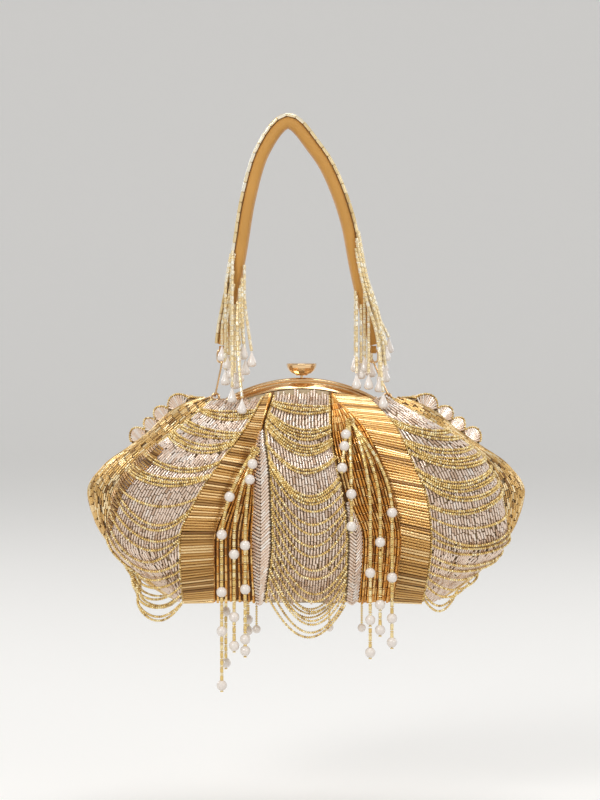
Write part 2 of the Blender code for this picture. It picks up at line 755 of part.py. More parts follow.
def make_tab(side):
    """Folded satin that holds the oval ring under the strap's end."""
    wire = oval_centre(side) + Vector((0, 0, OVAL_HALF_HEIGHT))
    bore = OVAL_WIRE + 2 * GAP
    reach = bore + TAB_CLOTH
    top = strap_end(side).z - 2 * TAB_CLOTH / 3 - GAP
    rows = []
    for x in (wire.x - TAB_WIDTH / 2, wire.x + TAB_WIDTH / 2):
        row = [(x, reach, top), (x, -reach, top)]
        row += [(x, -reach * math.cos(a), wire.z - reach * math.sin(a))
                for a in (math.pi * k / 6 for k in range(7))]
        rows.append(row)
    tab = loft("strap_tab_" + side, rows, "satin")
    hole = rod("tab_hole", wire - Vector((TAB_WIDTH, 0, 0)), wire + Vector((TAB_WIDTH, 0, 0)), bore, 10, "satin")
    combine(tab, hole, "DIFFERENCE")


def make_oval(side):
    points = [oval_point(side, 2 * math.pi * k / 16) for k in range(16)]
    closed_tube("oval_ring_" + side, points, OVAL_WIRE, WIRE_SIDES, "gold_metal", (0, 1, 0))


def frame_ring_centre(side):
    hand = -1 if side == "left" else 1
    return Vector((FRAME_X + hand * RING_X, 0.0, SWING_Z - RING_RADIUS))


def clip_ends(side):
    """Arc centres at the clip's foot and head, and the direction from foot to head."""
    foot = frame_ring_centre(side) + Vector((0, 0, RING_RADIUS))
    head = oval_centre(side) - Vector((0, 0, OVAL_HALF_HEIGHT))
    along = (head - foot).normalized()
    inner = CLIP_HALF_GAP - CLIP_WIRE - 1.5 * GAP
    return foot + along * (inner - RING_WIRE), head - along * (inner - OVAL_WIRE), along


def make_clip(side):
    """Wire clip through the oval ring and the frame's ring, with its front leg left open for the gate."""
    foot, head, along = clip_ends(side)
    across = Vector((0, CLIP_HALF_GAP, 0))
    turns = [math.pi * k / 7 for k in range(8)]
    points = [head - across - along * GATE_STUB]
    points += [head - across * math.cos(a) + along * CLIP_HALF_GAP * math.sin(a) for a in turns]
    points += [foot + across * math.cos(a) - along * CLIP_HALF_GAP * math.sin(a) for a in turns]
    points.append(foot - across + along * GATE_STUB)
    bm_rings = []
    normal = along.cross(Vector((0, 1, 0))).normalized()
    for i, point in enumerate(points):
        heading = (points[min(i + 1, len(points) - 1)] - points[max(i - 1, 0)]).normalized()
        away = heading.cross(normal).normalized()
        bm_rings.append([point + (away * math.cos(2 * math.pi * k / WIRE_SIDES)
                         + normal * math.sin(2 * math.pi * k / WIRE_SIDES)) * CLIP_WIRE
                         for k in range(WIRE_SIDES)])
    loft("clip_" + side, bm_rings, "gold_metal")
    gate_top = head - across - along * (GATE_STUB + GAP)
    gate_foot = foot - across + along * (GATE_STUB + GAP)
    loft("clip_gate_" + side, tube_rings([gate_top, gate_foot], [GATE_WIRE] * 2, WIRE_SIDES), "gold_metal",
         pivot=tuple(gate_top))


def make_strap_fringe(side):
    """Bead strands with drop pearls, hung from a collar round the strap."""
    height = COLLAR_Z[side]
    top, low = strap_share_at(height, side), strap_share_at(height - COLLAR_HEIGHT, side)

    def corners(half, thick):
        wide, out = half + GAP, thick + FACING_THICKNESS + 2 * GAP
        edge = -thick / 2
        return ((-wide, edge), (-wide, out), (wide, out), (wide, edge),
                (wide + COLLAR_SHEET, edge), (wide + COLLAR_SHEET, out + COLLAR_SHEET),
                (-wide - COLLAR_SHEET, out + COLLAR_SHEET), (-wide - COLLAR_SHEET, edge))

    rows = [strap_row(blend(top, low, k / 3), corners) for k in range(4)]
    fringe = loft("strap_fringe_" + side, rows, "silver_beads", smooth=False)
    middle, outward, _ = strap_frame(blend(top, low, 0.5))
    half, thick = STRAP_WIDTH / 2, STRAP_THICKNESS / 2
    for index, (x, y, z) in enumerate(DROP_FEET[side]):
        foot = Vector((x, y, z))
        out = min(max((foot - middle).dot(outward) * STRAND_START_SHARE, -thick * STRAND_START_LOW), thick)
        start = middle + outward * out
        if abs(y) > half / 2:
            start.y = math.copysign(half + GAP + COLLAR_SHEET / 2, y)
        else:
            start = middle + outward * (thick + FACING_THICKNESS + 2 * GAP + COLLAR_SHEET / 2)
        piece = strand("strand", lambda share, a=start, b=foot: a.lerp(b, share), (), "silver_beads",
                       index * STRAND_TWIST, drop=True)
        combine(fringe, piece, "UNION")


# Frame

def frame_path():
    """Points of the rim's outer line from the left arm's foot over the arch to the right arm's foot."""
    foot = HINGE_Z + KNUCKLE_RADIUS + 2 * GAP
    end = RIM_TOP_Z - rim_drop(RIM_HALF_SPAN)
    bend = (ARM_X - RIM_HALF_SPAN) * 2
    arch = [(x, RIM_TOP_Z - rim_drop(x)) for x in (RIM_HALF_SPAN * k / 7 for k in range(-7, 8))]
    left = [(-ARM_X, foot), (-ARM_X, end - 2 * bend), (-ARM_X + bend / 8, end - bend)]
    right = [(-x, z) for x, z in reversed(left)]
    return left + arch + right


def make_frame_half(side):
    """Rim, face plate and arms of one half, swept along the arch."""
    hand = -1 if side == "front" else 1
    path = frame_path()
    rows = []
    for i, (x, z) in enumerate(path):
        before, after = path[max(i - 1, 0)], path[min(i + 1, len(path) - 1)]
        along = Vector((after[0] - before[0], 0, after[1] - before[1])).normalized()
        inward = Vector((along.z, 0, -along.x))
        share = min(abs(x) / PLATE_HALF_SPAN, 1.0) ** 4
        depth = max(plate_depth(x), RIM_DEPTH + PLATE_SHEET)
        flare = blend(PLATE_FLARE, RIM_WIDTH, share)
        section = ((0.0, GAP / 2), (0.0, RIM_WIDTH * 0.7), (RIM_DEPTH * 0.35, RIM_WIDTH),
                   (RIM_DEPTH * 0.75, RIM_WIDTH * 0.8), (RIM_DEPTH, RIM_WIDTH * 0.92), (depth, flare),
                   (depth, flare - PLATE_SHEET), (RIM_DEPTH, RIM_WIDTH * 0.6), (RIM_DEPTH, GAP / 2))
        rows.append([Vector((FRAME_X + x, hand * y, z)) + inward * deep for deep, y in section])
    half = loft(side + "_frame", rows, "gold_metal", pivot=(FRAME_X, 0.0, HINGE_Z))
    for end in (-1, 1):
        inner = ARM_X - RIM_DEPTH - PLATE_SHEET
        middle = inner + KNUCKLE_LENGTH / 2 + (0 if side == "front" else KNUCKLE_LENGTH + GAP)
        low_x, high_x = sorted((FRAME_X + end * (middle - KNUCKLE_LENGTH / 2),
                                FRAME_X + end * (middle + KNUCKLE_LENGTH / 2)))
        barrel = rod("barrel", (low_x, 0, HINGE_Z), (high_x, 0, HINGE_Z), KNUCKLE_RADIUS, 12, "gold_metal")
        near, far = sorted((hand * GAP / 2, hand * KNUCKLE_RADIUS * 0.9))
        trim = GAP / 10
        tab = box("tab", (low_x + trim, near, HINGE_Z),
                  (high_x - trim, far, HINGE_Z + 2 * KNUCKLE_RADIUS - 2 * GAP), "gold_metal")
        combine(half, barrel, "UNION")
        combine(half, tab, "UNION")
        bore = rod("bore", (low_x - GAP, 0, HINGE_Z), (high_x + GAP, 0, HINGE_Z), PIN_RADIUS + GAP, 10,
                   "gold_metal")
        combine(half, bore, "DIFFERENCE")
    return half


def make_front_frame():
    half = make_frame_half("front")
    hole = rod("stem_hole", (FRAME_X, KNOB_Y, RIM_TOP_Z + KNOB_LIFT),
               (FRAME_X, KNOB_Y, RIM_TOP_Z - RIM_DEPTH - GAP), STEM_RADIUS + STEM_CLEARANCE, 12, "gold_metal")
    combine(half, hole, "DIFFERENCE")


def make_rear_frame():
    """The rear half carries a lug outside each arm for the ring that takes the clip."""
    half = make_frame_half("rear")
    top = SWING_Z - 2 * RING_RADIUS - RING_WIRE - GAP
    for hand in (-1, 1):
        near, far = sorted((FRAME_X + hand * (ARM_X - RIM_DEPTH / 2), FRAME_X + hand * (RING_X + RING_RADIUS)))
        lug = box("lug", (near, GAP, top - LUG_SIZE), (far, RIM_WIDTH * 0.75, top), "gold_metal")
        combine(half, lug, "UNION")


def make_frame_fittings():
    for side, hand in (("left", -1), ("right", 1)):
        centre = frame_ring_centre(side)
        points = [centre + Vector((math.cos(a), 0, math.sin(a))) * RING_RADIUS
                  for a in (2 * math.pi * k / 12 for k in range(12))]
        closed_tube("frame_ring_" + side, points, RING_WIRE, WIRE_SIDES, "gold_metal", (0, 1, 0))
        start = FRAME_X + hand * (ARM_X - RIM_DEPTH - PLATE_SHEET)
        rod("hinge_pin_" + side, (start, 0, HINGE_Z), (start + hand * PIN_LENGTH, 0, HINGE_Z), PIN_RADIUS, 8,
            "gold_metal")
    top = RIM_TOP_Z - RIM_DEPTH - GAP
    box("lock_keeper", (FRAME_X - KEEPER_SIZE, GAP, top - KEEPER_SIZE / 2),
        (FRAME_X + KEEPER_SIZE, RIM_WIDTH * 0.55, top), "gold_metal")


def make_knob():
    """Faceted cup with a flat top, on a stem through the front rim with a collar below."""
    foot = RIM_TOP_Z + KNOB_LIFT
    collar = RIM_TOP_Z - RIM_DEPTH - KNOB_LIFT
    profile = (
        (STEM_RADIUS * 1.4, collar - 2 * STEM_RADIUS - foot), (STEM_RADIUS * 1.4, collar - STEM_RADIUS - foot),
        (STEM_RADIUS, collar - STEM_RADIUS - foot + GAP), (STEM_RADIUS, 0.0),
        (KNOB_FOOT_RADIUS, 0.0), (KNOB_FOOT_RADIUS * 1.25, KNOB_HEIGHT * 0.12),
        (KNOB_TOP_RADIUS * 0.82, KNOB_HEIGHT * 0.50), (KNOB_TOP_RADIUS * 0.97, KNOB_HEIGHT * 0.86),
        (KNOB_TOP_RADIUS, KNOB_HEIGHT * 0.93), (KNOB_TOP_RADIUS * 0.96, KNOB_HEIGHT),
    )
    turned("lock_knob", (FRAME_X, KNOB_Y, foot), profile, KNOB_SIDES, "gold_metal", smooth=False,
           pivot=(FRAME_X, KNOB_Y, foot))


# Pleat fringes

def front_y(x, z, reach):
    """Foremost surface within a reach either side of x."""
    return min(skin(angle_at(x + step, z), z).y for step in (-reach, 0.0, reach))


def make_pleat_fringe(side, name):
    """Strands with round pearls, hung from a knot near the top of a pleat."""
    hand = 1 if side == "front" else -1
    knot_x, knot_z = KNOTS[name]
    standoff = PEARL_RADIUS + SKIN_GAP + 3 * BAND_SHEET + GAP

    def hang_y(x, z):
        return front_y(x, max(z, FRINGE_HANG_Z), PEARL_RADIUS) - standoff

    half = KNOT_SIZE / 2
    back = front_y(knot_x, knot_z, half) - NET_GAP - GAP
    front = hang_y(knot_x, knot_z) - STRAND_RADIUS
    near, far = sorted((hand * back, hand * front))
    fringe = box(side + "_pleat_fringe_" + name, (knot_x - half, near, knot_z - half),
                 (knot_x + half, far, knot_z + half), "gold_beads")
    strands = STRANDS[name] if side == "front" else STRANDS[name][:REAR_STRANDS]
    for index, ((foot_x, foot_z), pearls) in enumerate(strands):
        start_x = knot_x + (index - (len(strands) - 1) / 2) * KNOT_PITCH

        def route(share, foot_x=foot_x, foot_z=foot_z, start_x=start_x):
            z = blend(knot_z, foot_z, share)
            swing = max(1 - (knot_z - z) / FRINGE_SWING_OUT, 0.0)
            x = foot_x + (start_x - foot_x) * swing ** 2
            return Vector((x, hand * hang_y(x, z), z))

        combine(fringe, strand("strand", route, pearls, "pearls", index * STRAND_TWIST), "UNION")


def main():
    clear_scene()
    make_strap()
    make_facing()
    for side in ("left", "right"):
        make_tab(side)
        make_oval(side)
        make_clip(side)
        make_strap_fringe(side)
    make_front_frame()
    make_rear_frame()
    make_frame_fittings()
    make_knob()
    make_panels()
    for side in ("left", "right"):
        make_gore(side)
        make_ruffle(side)
        for face in ("front", "rear"):
            make_pleat_fringe(face, side)
    make_base()
    make_lining()


main()
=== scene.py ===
"""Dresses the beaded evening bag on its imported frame: cloth, glass beads, pearls and gold metal."""

import math

import bmesh
import bpy
import numpy as np
from mathutils import Matrix, Vector


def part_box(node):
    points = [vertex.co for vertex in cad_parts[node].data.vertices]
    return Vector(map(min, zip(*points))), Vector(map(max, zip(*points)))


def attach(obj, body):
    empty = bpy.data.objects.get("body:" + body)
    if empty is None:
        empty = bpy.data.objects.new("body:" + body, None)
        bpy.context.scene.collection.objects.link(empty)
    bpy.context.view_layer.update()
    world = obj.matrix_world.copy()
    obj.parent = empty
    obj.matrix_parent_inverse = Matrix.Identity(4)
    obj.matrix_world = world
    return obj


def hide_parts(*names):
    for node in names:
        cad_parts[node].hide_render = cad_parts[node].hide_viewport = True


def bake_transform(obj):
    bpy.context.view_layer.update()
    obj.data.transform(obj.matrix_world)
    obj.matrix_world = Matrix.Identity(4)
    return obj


bl_info = {
    "name": "Beaded Evening Bag",
    "version": (1, 0, 0),
    "blender": (4, 5, 0),
    "location": "3D View > Sidebar > Bag",
    "description": "Makes the beaded surface, handle, frame and stage of an evening bag",
    "category": "Add Mesh",
}

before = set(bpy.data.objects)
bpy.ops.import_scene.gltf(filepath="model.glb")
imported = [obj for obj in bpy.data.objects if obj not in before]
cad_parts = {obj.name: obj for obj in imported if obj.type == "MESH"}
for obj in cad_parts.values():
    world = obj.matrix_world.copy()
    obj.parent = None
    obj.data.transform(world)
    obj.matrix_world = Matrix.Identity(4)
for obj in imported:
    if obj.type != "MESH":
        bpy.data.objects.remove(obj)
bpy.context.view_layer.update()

# The body's form, as in the part's source
FRAME_X, BODY_X = 0.0084, 0.0112
BASE_Z, MOUTH_EDGE_Z, HINGE_Z = -0.290, -0.1665, -0.186
SQUARE_MOUTH, ROUND_BODY, SQUARE_Z, ROUND_Z = 5.0, 2.1, -0.170, -0.200
LAST_SHARE = 0.985
FLAT, SOFT, ALL_SMOOTH = 0, 50, 180
RIM_TOP_Z, RIM_RADIUS, RIM_HALF_SPAN, ARM_X = -0.1535, 0.092, 0.0495, 0.0512
RIM_DEPTH, RIM_WIDTH = 0.0034, 0.0038
PLATE_DEPTH, PLATE_FLARE, PLATE_SHEET, PLATE_HALF_SPAN = 0.0065, 0.0066, 0.0008, 0.047
KNUCKLE_RADIUS, KNUCKLE_LENGTH, LUG_HEIGHT, GAP, KNOB_SIDES = 0.002, 0.002, 0.0030, 0.0003, 14

# Rounded double line of the rim, as shares of its depth and its width
RIM_PROFILE = ((0.0, 0.50), (0.05, 0.75), (0.18, 0.93), (0.35, 1.0), (0.50, 0.97), (0.62, 0.86), (0.72, 0.78),
               (0.84, 0.80), (1.0, 0.92))
KNOB_TOP_RADIUS, KNOB_FOOT_RADIUS, KNOB_HEIGHT, KNOB_STEM_RADIUS = 0.0093, 0.0037, 0.0075, 0.0008
OUTLINE = (
    (-0.1655, 0.0570, 0.0076), (-0.1700, 0.0710, 0.0140), (-0.1770, 0.0835, 0.0215),
    (-0.1870, 0.0945, 0.0285), (-0.1970, 0.1085, 0.0335), (-0.2080, 0.1240, 0.0375),
    (-0.2240, 0.1345, 0.0400), (-0.2420, 0.1300, 0.0400), (-0.2600, 0.1185, 0.0380),
    (-0.2760, 0.1040, 0.0345), (-0.2900, 0.0840, 0.0290),
)
LOBE_RISE = ((-0.1600, 0.0010), (-0.1750, 0.0045), (-0.1950, 0.0090), (-0.2300, 0.0105),
             (-0.2650, 0.0090), (-0.2900, 0.0045))
SEAM_HEIGHTS = (-0.1655, -0.1840, -0.2040, -0.2260, -0.2500, -0.2900)
SEAMS = {
    "left_gore": (-0.416, -0.572, -0.756, -0.867, -0.890, -0.587),
    "left_lobe": (-0.193, -0.272, -0.378, -0.483, -0.549, -0.535),
    "left_ladder": (-0.172, -0.213, -0.268, -0.360, -0.427, -0.429),
    "left_herringbone": (-0.157, -0.199, -0.226, -0.226, -0.235, -0.223),
    "centre_left": (-0.150, -0.180, -0.161, -0.152, -0.149, -0.184),
    "centre_right": (0.111, 0.106, 0.129, 0.161, 0.180, 0.170),
    "right_herringbone": (0.115, 0.111, 0.136, 0.178, 0.245, 0.230),
    "right_ladder": (0.124, 0.281, 0.355, 0.409, 0.439, 0.406),
    "right_lobe": (0.272, 0.394, 0.465, 0.528, 0.546, 0.506),
    "right_gore": (0.372, 0.610, 0.807, 0.885, 0.907, 0.595),
}
LOBES = {
    "left": ("left_gore", "left_ladder"),
    "centre": ("left_herringbone", "right_herringbone"),
    "right": ("right_ladder", "right_gore"),
}
SWAG_FIELDS = {
    "left": ("left_gore", "left_lobe"),
    "centre": ("centre_left", "centre_right"),
    "right": ("right_lobe", "right_gore"),
}
TIP_REACH, HANG_Z = 0.1345, -0.272
SIDES, HANDS = ("front", "rear"), ("left", "right")

# Distances from the seams at which a lobe, its swags, a band of bugles and the cloth of a pleat end
SEAM_MARGINS = {"lobe": 0.0004, "swag": 0.0008, "band": 0.0006, "under": -0.0014}

# Cloth of lobes, gores and pleats: its faces across and down, its sheet, and its depth under the beads
LOBE_CLOTH = ((40, 44), 0.0013, 0.0006)
GORE_CLOTH = ((40, 40), 0.0013, 0.0005)
PLEAT_CLOTH = ((12, 36), 0.0010, 0.0005)

# Strings of bugles: steps to measure a row, gap at the ends, half of the pitch that is glass, unevenness
STRING_PHASES, ROW_STEPS, STRING_END, GLASS_SHARE = 400, 81, 0.0004, 0.465
STRING_LEAN, STRING_RISE, STRINGS_PER_STEP = 0.00008, 0.00018, 4
# Lobe strings' pitch in bugle radii, and the painted shade on lobe bugles: their tone at a lobe's foot is
# this share of that at its top
LOBE_STRING_PITCH, LOBE_FOOT_PAINTED_SHADE = 2.24, 0.62
GORE_BUGLE_LENGTH, GORE_BUGLE_RADIUS, GORE_STRING_PITCH = 0.0046, 0.00074, 0.00158

# Pleats: seams and number of strings; ladders: seams; herringbones: seams and how far down they start
PLEATS = (("left", ("left_ladder", "left_herringbone"), 10),
          ("right", ("right_herringbone", "right_ladder"), 15))
PLEAT_PITCH, PLEAT_EDGE, PLEAT_PROUD, PLEAT_STEP, PLEAT_END = 0.0052, 0.92, 0.0009, 0.0011, 0.0005
LADDERS = (("left", ("left_lobe", "left_ladder")), ("right", ("right_ladder", "right_lobe")))
RUNG_PITCH, RUNG_PROUD, RUNG_RADIUS, RUNG_OVERLAP = 0.0018, 0.0021, 0.00088, 0.06
RUNG_JITTER, RUNG_SHORTEST = 0.0001, 0.0015
HERRINGBONES = (("left", ("left_herringbone", "centre_left"), 0.022),
                ("right", ("centre_right", "right_herringbone"), 0.060))
CHEVRON_PITCH, CHEVRON_PROUD, CHEVRON_RADIUS, CHEVRON_NARROWEST = 0.0021, 0.0021, 0.0008, 0.0022
CHEVRON_RISE, CHEVRON_RISE_LIMIT, CHEVRON_ENDS, CHEVRON_END = 0.42, 0.004, (0.02, 0.52, 1.0), 0.0005

# Edges of the dark band at the left seam, as x and z
SEAM_BAND = (
    ((-0.0719, -0.1965), (-0.0775, -0.2046), (-0.0874, -0.2133), (-0.0967, -0.2244), (-0.0998, -0.2368),
     (-0.1029, -0.2486)),
    ((-0.0775, -0.1947), (-0.0911, -0.2046), (-0.1010, -0.2176), (-0.1073, -0.2313), (-0.1085, -0.2440)),
)
SEAM_RUNGS, SEAM_BAND_PROUD, SEAM_RUNG_GAP = 36, 0.0026, 0.03

# Inside: lining, base, and the facings and gussets of the mouth
LINING_INSET, LINING_END_INSET, LINING_SHEET, LINING_DROP = 0.0045, 0.0090, 0.0010, 0.0026
LINING_CUT, LINING_CUT_DEPTH, LINING_RINGS = 0.018, 0.018, 22
BASE_SHEET, BASE_INSET, BASE_END_INSET = 0.0020, 0.0019, 0.0030
BASE_SEED_PITCH, BASE_SEED_RADIUS = 0.0017, 0.0010
FACING_REACH, FACING_SHEET, FACING_DROP, FACING_EDGE, FACING_AT_ARM = 1.35, 0.0007, 0.0006, 0.0007, 0.0004
GUSSET_Z, GUSSET_SHEET, GUSSET_EDGE, GUSSET_AT_ARM, GUSSET_TURN = -0.1700, 0.0008, 0.0018, 0.0006, 0.55

# Pearls under the base: x and z of each, their size among the round pearls, and the thread's place and seeds
BASE_PEARLS = ((-0.0192, -0.3068), (0.0254, -0.3055), (0.0453, -0.3060))
BASE_PEARL_SHARE, BASE_THREAD_TOP = 0.8, (0, 0.0012, 0.0008)
BASE_THREAD_PITCH, BASE_THREAD_RADIUS, BASE_THREAD_TONE = 0.0014, 0.0009, 0.7

# Swags: heights of each strand at its left end, its middle and its right end, in millimetres
SWAGS = {
    "left": (
        (-172, -175, -174), (-173, -177, -176), (-180, -186, -186), (-182, -188, -188), (-186, -193, -190),
        (-188, -195, -192), (-200, -208, -203), (-207, -214, -211), (-209, -216, -213), (-218, -230, -224),
        (-219, -241, -230), (-221, -244, -233), (-227, -251, -245), (-231, -256, -247), (-237, -262, -250),
        (-243, -268, -262), (-248, -275, -268), (-251, -279, -274), (-254, -286, -279), (-257, -291, -284),
        (-260, -296, -287), (-263, -300, -289),
    ),
    "centre": (
        (-169, -172, -172), (-171, -174, -174), (-175, -184, -182), (-177, -188, -185), (-180, -193, -190),
        (-183, -197, -193), (-192, -208, -201), (-200, -222, -212), (-202, -225, -215), (-208, -231, -222),
        (-213, -240, -227), (-218, -246, -232), (-224, -253, -236), (-230, -259, -241), (-236, -267, -248),
        (-242, -274, -255), (-249, -282, -262), (-255, -288, -268), (-261, -293, -273), (-266, -298, -278),
        (-271, -302, -283), (-276, -306, -287), (-281, -309, -290),
    ),
    "right": (
        (-179, -185, -187), (-181, -188, -190), (-189, -197, -195), (-191, -200, -198), (-196, -205, -203),
        (-207, -215, -208), (-210, -219, -212), (-214, -223, -216), (-227, -231, -222), (-235, -243, -237),
        (-242, -251, -244), (-249, -255, -248), (-253, -259, -251), (-259, -265, -257), (-265, -270, -260),
        (-269, -275, -263), (-274, -281, -271), (-279, -286, -278), (-284, -291, -283), (-285, -295, -284),
    ),
}

SWAG_PROUD, SWAG_PROUD_RANGE, SWAG_PROUD_STEP, SWAG_WOBBLE = 0.0017, 0.0006, 0.00004, (1, 1.2, 1)
SWAG_INSET, SWAG_STANDOFF, SWAG_FREE_DROP, SWAG_EDGE_PROUD, SWAG_STEPS = 0.0006, 0.003, 0.02, 0.0012, 61
DOUBLED_SWAGS, SWAG_TWIN, SEED_OVERLAP = 9, (-0.8, -1.9, -0.8), -0.15

# Fringes, as in the part's source
KNOTS = {"left": (-0.0198, -0.1960), "right": (0.0381, -0.1792)}
STRANDS = {
    "left": (
        ((-0.0400, -0.3420), (-0.2237, -0.2462, -0.2815, -0.3050, -0.3387)),
        ((-0.0258, -0.3205), (-0.2040, -0.2133, -0.2530, -0.2800, -0.3100, -0.3175)),
        ((-0.0325, -0.3175), (-0.2590, -0.2965, -0.3142)),
    ),
    "right": (
        ((0.0316, -0.2095), (-0.1866, -0.1935, -0.2062)),
        ((0.0385, -0.2445), (-0.2220, -0.2412)),
        ((0.0632, -0.3158), (-0.2337, -0.2725, -0.2976, -0.3125)),
        ((0.0560, -0.3080), (-0.2517, -0.2895, -0.3047)),
        ((0.0500, -0.3220), (-0.2703, -0.2988, -0.3187)),
    ),
}
REAR_STRANDS, STRAND_PITCH, STRAND_SPREAD = 2, 0.0046, 0.0007
STRAND_SWING, PEARL_SEED_RADIUS = 0.055, 0.0013
KNOT_SEEDS, KNOT_TURN, KNOT_HALF = 26, 2.4, 0.0022
KNOT_ROUND, KNOT_RADIUS, KNOT_SEED_RADIUS = 0.0025, 0.0024, 0.0010

# Handle: the strap's route as x and z, and the feet of its fringes' drops
STRAP_ROUTE = (
    (-0.0409, -0.1330), (-0.0341, -0.1020), (-0.0291, -0.0745), (-0.0236, -0.0420), (-0.0149, -0.0136),
    (0.0000, 0.004), (0.0161, -0.0124), (0.0267, -0.0300), (0.0363, -0.0570), (0.0428, -0.0900),
    (0.0530, -0.1330),
)
STRAP_WIDTH, STRAP_THICKNESS, STRAP_TAPER = 0.015, 0.008, 0.012
STRAP_TIP_WIDTH, STRAP_TIP_THICKNESS = 0.009, 0.0055
FACING_BUGLE, FACING_BUGLE_RADIUS, FACING_LANES, FACING_HALF, FACING_PROUD = 0.0046, 0.00092, 7, 0.72, 0.0009
STRAP_EDGE, STRAP_EDGE_PROUD, EDGE_BUGLE, EDGE_BUGLE_RADIUS = 0.90, 0.0007, 0.0062, 0.00115
TAB_SHEET = 0.62
COLLAR_Z = {"left": -0.0780, "right": -0.0700}
DROP_FEET = {
    "left": (
        (-0.0273, -0.0112, -0.1416), (-0.0223, -0.0112, -0.1466), (-0.0384, -0.0135, -0.1578),
        (-0.0298, -0.0135, -0.1560), (-0.0341, -0.0215, -0.1683), (-0.0279, -0.0285, -0.1745),
        (-0.0280, 0.0112, -0.1430), (-0.0370, 0.0114, -0.1500),
    ),
    "right": (
        (0.0415, -0.0112, -0.1497), (0.0471, -0.0116, -0.1497), (0.0422, -0.0165, -0.1600),
        (0.0496, -0.0170, -0.1602), (0.0626, 0.0005, -0.1385), (0.0600, -0.0140, -0.1559),
        (0.0583, -0.0245, -0.1714), (0.0425, 0.0112, -0.1480), (0.0520, 0.0114, -0.1540),
    ),
}

# Strands between those, whose drops are hidden in part
MORE_FEET = {
    "left": (
        (-0.0405, -0.0110, -0.1430), (-0.0375, -0.0120, -0.1480), (-0.0350, -0.0125, -0.1535),
        (-0.0325, -0.0140, -0.1600), (-0.0262, -0.0118, -0.1515), (-0.0395, 0.0110, -0.1470),
        (-0.0335, 0.0120, -0.1560),
    ),
    "right": (
        (0.0605, -0.0112, -0.1430), (0.0592, -0.0120, -0.1500), (0.0575, -0.0130, -0.1560),
        (0.0562, -0.0150, -0.1620), (0.0450, -0.0118, -0.1540), (0.0590, 0.0110, -0.1440),
        (0.0480, 0.0120, -0.1530),
    ),
}
COLLAR_HEIGHT, COLLAR_PROUD, COLLAR_PITCH, COLLAR_SEED = 0.012, 0.0010, 0.0016, 0.0010
DROP_RADIUS, DROP_LENGTH = 0.0030, 0.0098

# Where the strap's strands begin: the first above the collar, how far the rest spread down, and those inside
FRINGE_ABOVE, FRINGE_DROP, FRINGE_SCATTER, FRINGE_PITCH = 0.010, 0.026, 0.004, 0.0031
INNER_REACH, INNER_DROP, INNER_SHIFT, INNER_LOWEST = 0.0075, 0.014, 0.0035, -0.108
LANES, LANE_PITCH, LANE_DEPTH, STRAND_PROUD, STRAND_CLEAR = 4, 0.0017, 0.0006, 0.0016, 0.0014
FACE_STRAND_Y, FREE_FROM, FREE_BEND = 0.006, 0.35, 1.3
PEARL, FRINGE_HANG_Z, FRINGE_STANDOFF = 0.0032, -0.232, 0.0032
OVAL_WIRE, OVAL_HALF_WIDTH, OVAL_HALF_HEIGHT, OVAL_DROP = 0.0006, 0.0028, 0.0038, 0.0072
CLIP_WIRE, CLIP_HALF_GAP, GATE_WIRE, GATE_STUB = 0.0006, 0.0024, 0.00045, 0.0022
CLIP_REST, CLIP_CLEAR = np.array((0.0561 - FRAME_X, 0.0117, -0.1651)), 0.0012
RING_X, RING_WIRE, RING_RADIUS, SWING_Z = 0.0533, 0.0007, 0.0021, -0.1633
RUFFLE_PETALS, RUFFLE_RISE, RUFFLE_LIFT, RUFFLE_ROUND = 4, 0.0046, 0.0020, 0.6
RUFFLE_REACH, RUFFLE_SPAN, RUFFLE_SHEET = (0.12, 0.84), (-0.1695, -0.1960), 0.0008
RUFFLE_SPOKES, RUFFLE_BUGLE, RUFFLE_BUGLE_RADIUS, RUFFLE_SPREAD = 11, 0.0047, 0.00070, 0.55
RUFFLE_SEED_PITCH, RUFFLE_EDGE_SEED, RUFFLE_RIB_SEED, RUFFLE_RIB_TONE = 0.0013, 0.00088, 0.00085, 0.6
PETAL_DEPTH, PETAL_FOOT = 1.35, 0.0012

# Stage: backdrop's section, lamps as place, size and power, and the point that the camera looks at
BACKDROP_HALF_WIDTH, BACKDROP_FRONT, BACKDROP_BACK, BACKDROP_BEND, BACKDROP_RISE = 8.0, -7.0, 3.0, 1.2, 4.5
LAMPS = {
    "key": ((-0.9, -1.5, 0.9), 0.6, 13),
    "fill": ((1.3, -1.3, 0.3), 0.9, 5),
    "top": ((0.1, -0.2, 1.4), 0.7, 7),
    "back_left": ((-1.4, 1.0, 0.6), 0.8, 6),
    "back_right": ((1.4, 1.0, 0.4), 0.8, 5),
}
LOOK_AT, SENSOR_WIDTH = (0.00744, 0.0, -0.1674), 36


# Settings that a user would change

class BagBeadSettings(bpy.types.PropertyGroup):
    """Sizes of the glass beads and pearls."""
    bugle_length: bpy.props.FloatProperty(
        name="Bugle length", description="Length of the silver bugle beads", default=0.0049, unit="LENGTH")
    bugle_radius: bpy.props.FloatProperty(
        name="Bugle radius", description="Radius of the silver bugle beads", default=0.00074, unit="LENGTH")
    seed_radius: bpy.props.FloatProperty(
        name="Seed radius", description="Radius of the gold seed beads", default=0.00094, unit="LENGTH")
    seed_pitch: bpy.props.FloatProperty(
        name="Seed pitch", description="Distance between seed beads on a strand", default=0.00138,
        unit="LENGTH")
    pearl_radius: bpy.props.FloatProperty(
        name="Pearl radius", description="Radius of the round pearls", default=0.0032, unit="LENGTH")


